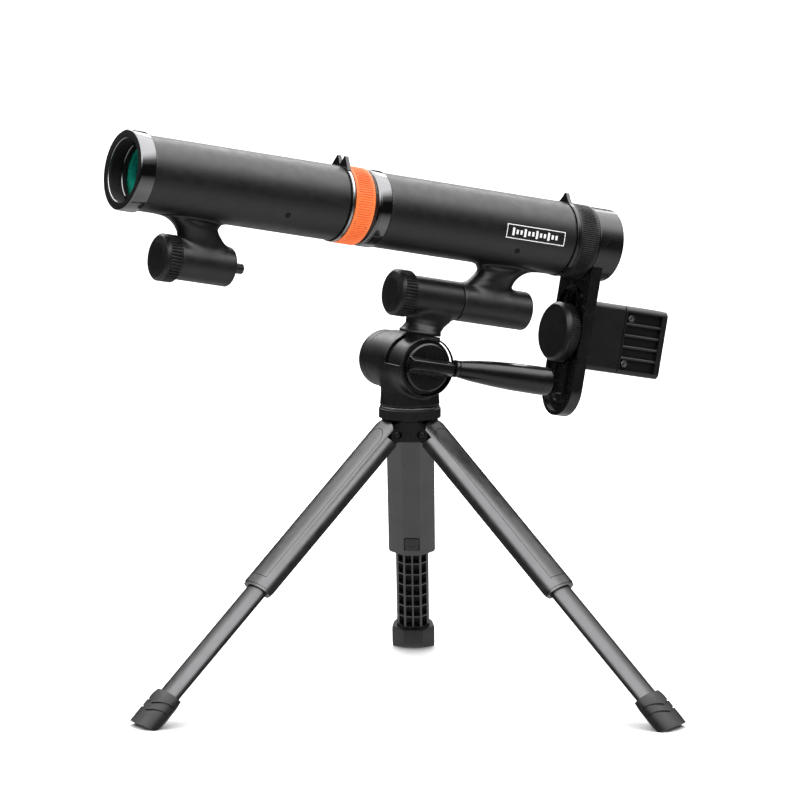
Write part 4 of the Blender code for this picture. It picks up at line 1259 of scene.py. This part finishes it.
def camera():
    """Long lens at the photograph's height and side."""
    turn, lift = CAMERA_AZIMUTH, CAMERA_ELEVATION
    back = Vector((math.sin(turn) * math.cos(lift), -math.cos(turn) * math.cos(lift), math.sin(lift)))
    right = Vector((math.cos(turn), math.sin(turn), 0.0))
    pan_axis = PAN.translation
    target = Vector((pan_axis.x, pan_axis.y, LOOK_HEIGHT)) - right * LOOK_LEFT
    data = bpy.data.cameras.new("camera")
    data.lens = CAMERA_LENS_MM
    data.sensor_width = 36.0
    data.clip_end = 200.0
    made = linked(data)
    made.location = target + back * CAMERA_DISTANCE
    made.rotation_mode = "QUATERNION"
    made.rotation_quaternion = back.to_track_quat("Z", "Y")
    bpy.context.scene.camera = made


def studio_floor():
    """Wide pale disc that reflections don't see, so the object's gloss follows the sky."""
    mesh = bpy.data.meshes.new("floor")
    rim = arc((0.0, 0.0), (FLOOR_RADIUS, FLOOR_RADIUS), 0, 360, FLOOR_SIDES)[:-1]
    mesh.from_pydata([(x, y, 0.0) for x, y in rim], [], [list(range(FLOOR_SIDES))])
    mesh.materials.append(finish_named("floor_paint"))
    floor = linked(mesh)
    floor.visible_glossy = False


def sky():
    """Soft light from above that fades towards the horizon, and a pale backdrop."""
    world = bpy.data.worlds.new("studio")
    bpy.context.scene.world = world
    world.use_nodes = True
    tree = world.node_tree
    tree.nodes.clear()
    direction = node(tree, "ShaderNodeTexCoord").outputs["Generated"]
    split = node(tree, "ShaderNodeSeparateXYZ")
    tree.links.new(direction, split.inputs["Vector"])
    bands = node(tree, "ShaderNodeValToRGB")
    while len(bands.color_ramp.elements) < len(SKY_STEPS):
        bands.color_ramp.elements.new(0.5)
    for element, (height, light) in zip(bands.color_ramp.elements, SKY_STEPS):
        element.position = (height + 1) / 2
        element.color = (light / SKY_PEAK, light / SKY_PEAK, light / SKY_PEAK, 1.0)
    share = node(tree, "ShaderNodeMapRange")
    share.inputs["From Min"].default_value = -1.0
    tree.links.new(split.outputs["Z"], share.inputs["Value"])
    tree.links.new(share.outputs["Result"], bands.inputs["Fac"])
    light = node(tree, "ShaderNodeBackground")
    light.inputs["Strength"].default_value = SKY_PEAK
    tree.links.new(bands.outputs["Color"], light.inputs["Color"])
    backdrop = node(tree, "ShaderNodeBackground")
    backdrop.inputs["Color"].default_value = (BACKDROP, BACKDROP, BACKDROP, 1.0)
    seen = node(tree, "ShaderNodeLightPath").outputs["Is Camera Ray"]
    chosen = node(tree, "ShaderNodeMixShader")
    tree.links.new(seen, chosen.inputs["Fac"])
    tree.links.new(light.outputs["Background"], chosen.inputs[1])
    tree.links.new(backdrop.outputs["Background"], chosen.inputs[2])
    output = node(tree, "ShaderNodeOutputWorld")
    tree.links.new(chosen.outputs["Shader"], output.inputs["Surface"])


def softbox(name, position, target, width, height, power):
    """Large soft lamp that the camera doesn't see."""
    data = bpy.data.lights.new(name, "AREA")
    data.shape = "RECTANGLE"
    data.size = width
    data.size_y = height
    data.energy = power
    lamp = linked(data)
    lamp.location = position
    lamp.rotation_mode = "QUATERNION"
    lamp.rotation_quaternion = (Vector(position) - Vector(target)).to_track_quat("Z", "Y")
    lamp.visible_camera = False


# -------------------------------------------------------------------- main --
CAD_FINISHES = {
    "black_plastic": "moulded_black", "satin_black": "satin_black", "tube_black": "tube_coat",
    "leg_grey": "leg_paint", "rubber": "foot_rubber", "bright_ring": "dark_chrome", "steel": "pin_steel",
    "orange": "orange_ring", "coated_glass": "coated_glass",
}


def shade_cad_nodes():
    """Give every CAD node the procedural finish of its slot."""
    for cad in frame["nodes"].values():
        slot_name = cad.data.materials[0].name.split(".")[0]
        cad.data.materials[0] = finish_named(CAD_FINISHES[slot_name])


def main():
    bpy.context.scene.view_settings.view_transform = "Standard"
    shade_cad_nodes()
    for build in BUILDERS:
        build()
    camera()
    studio_floor()
    sky()
    softbox("rim_light", (0.55, 1.30, 1.15), (0.0, 0.0, 0.25), 1.6, 0.5, 9.0)


main()
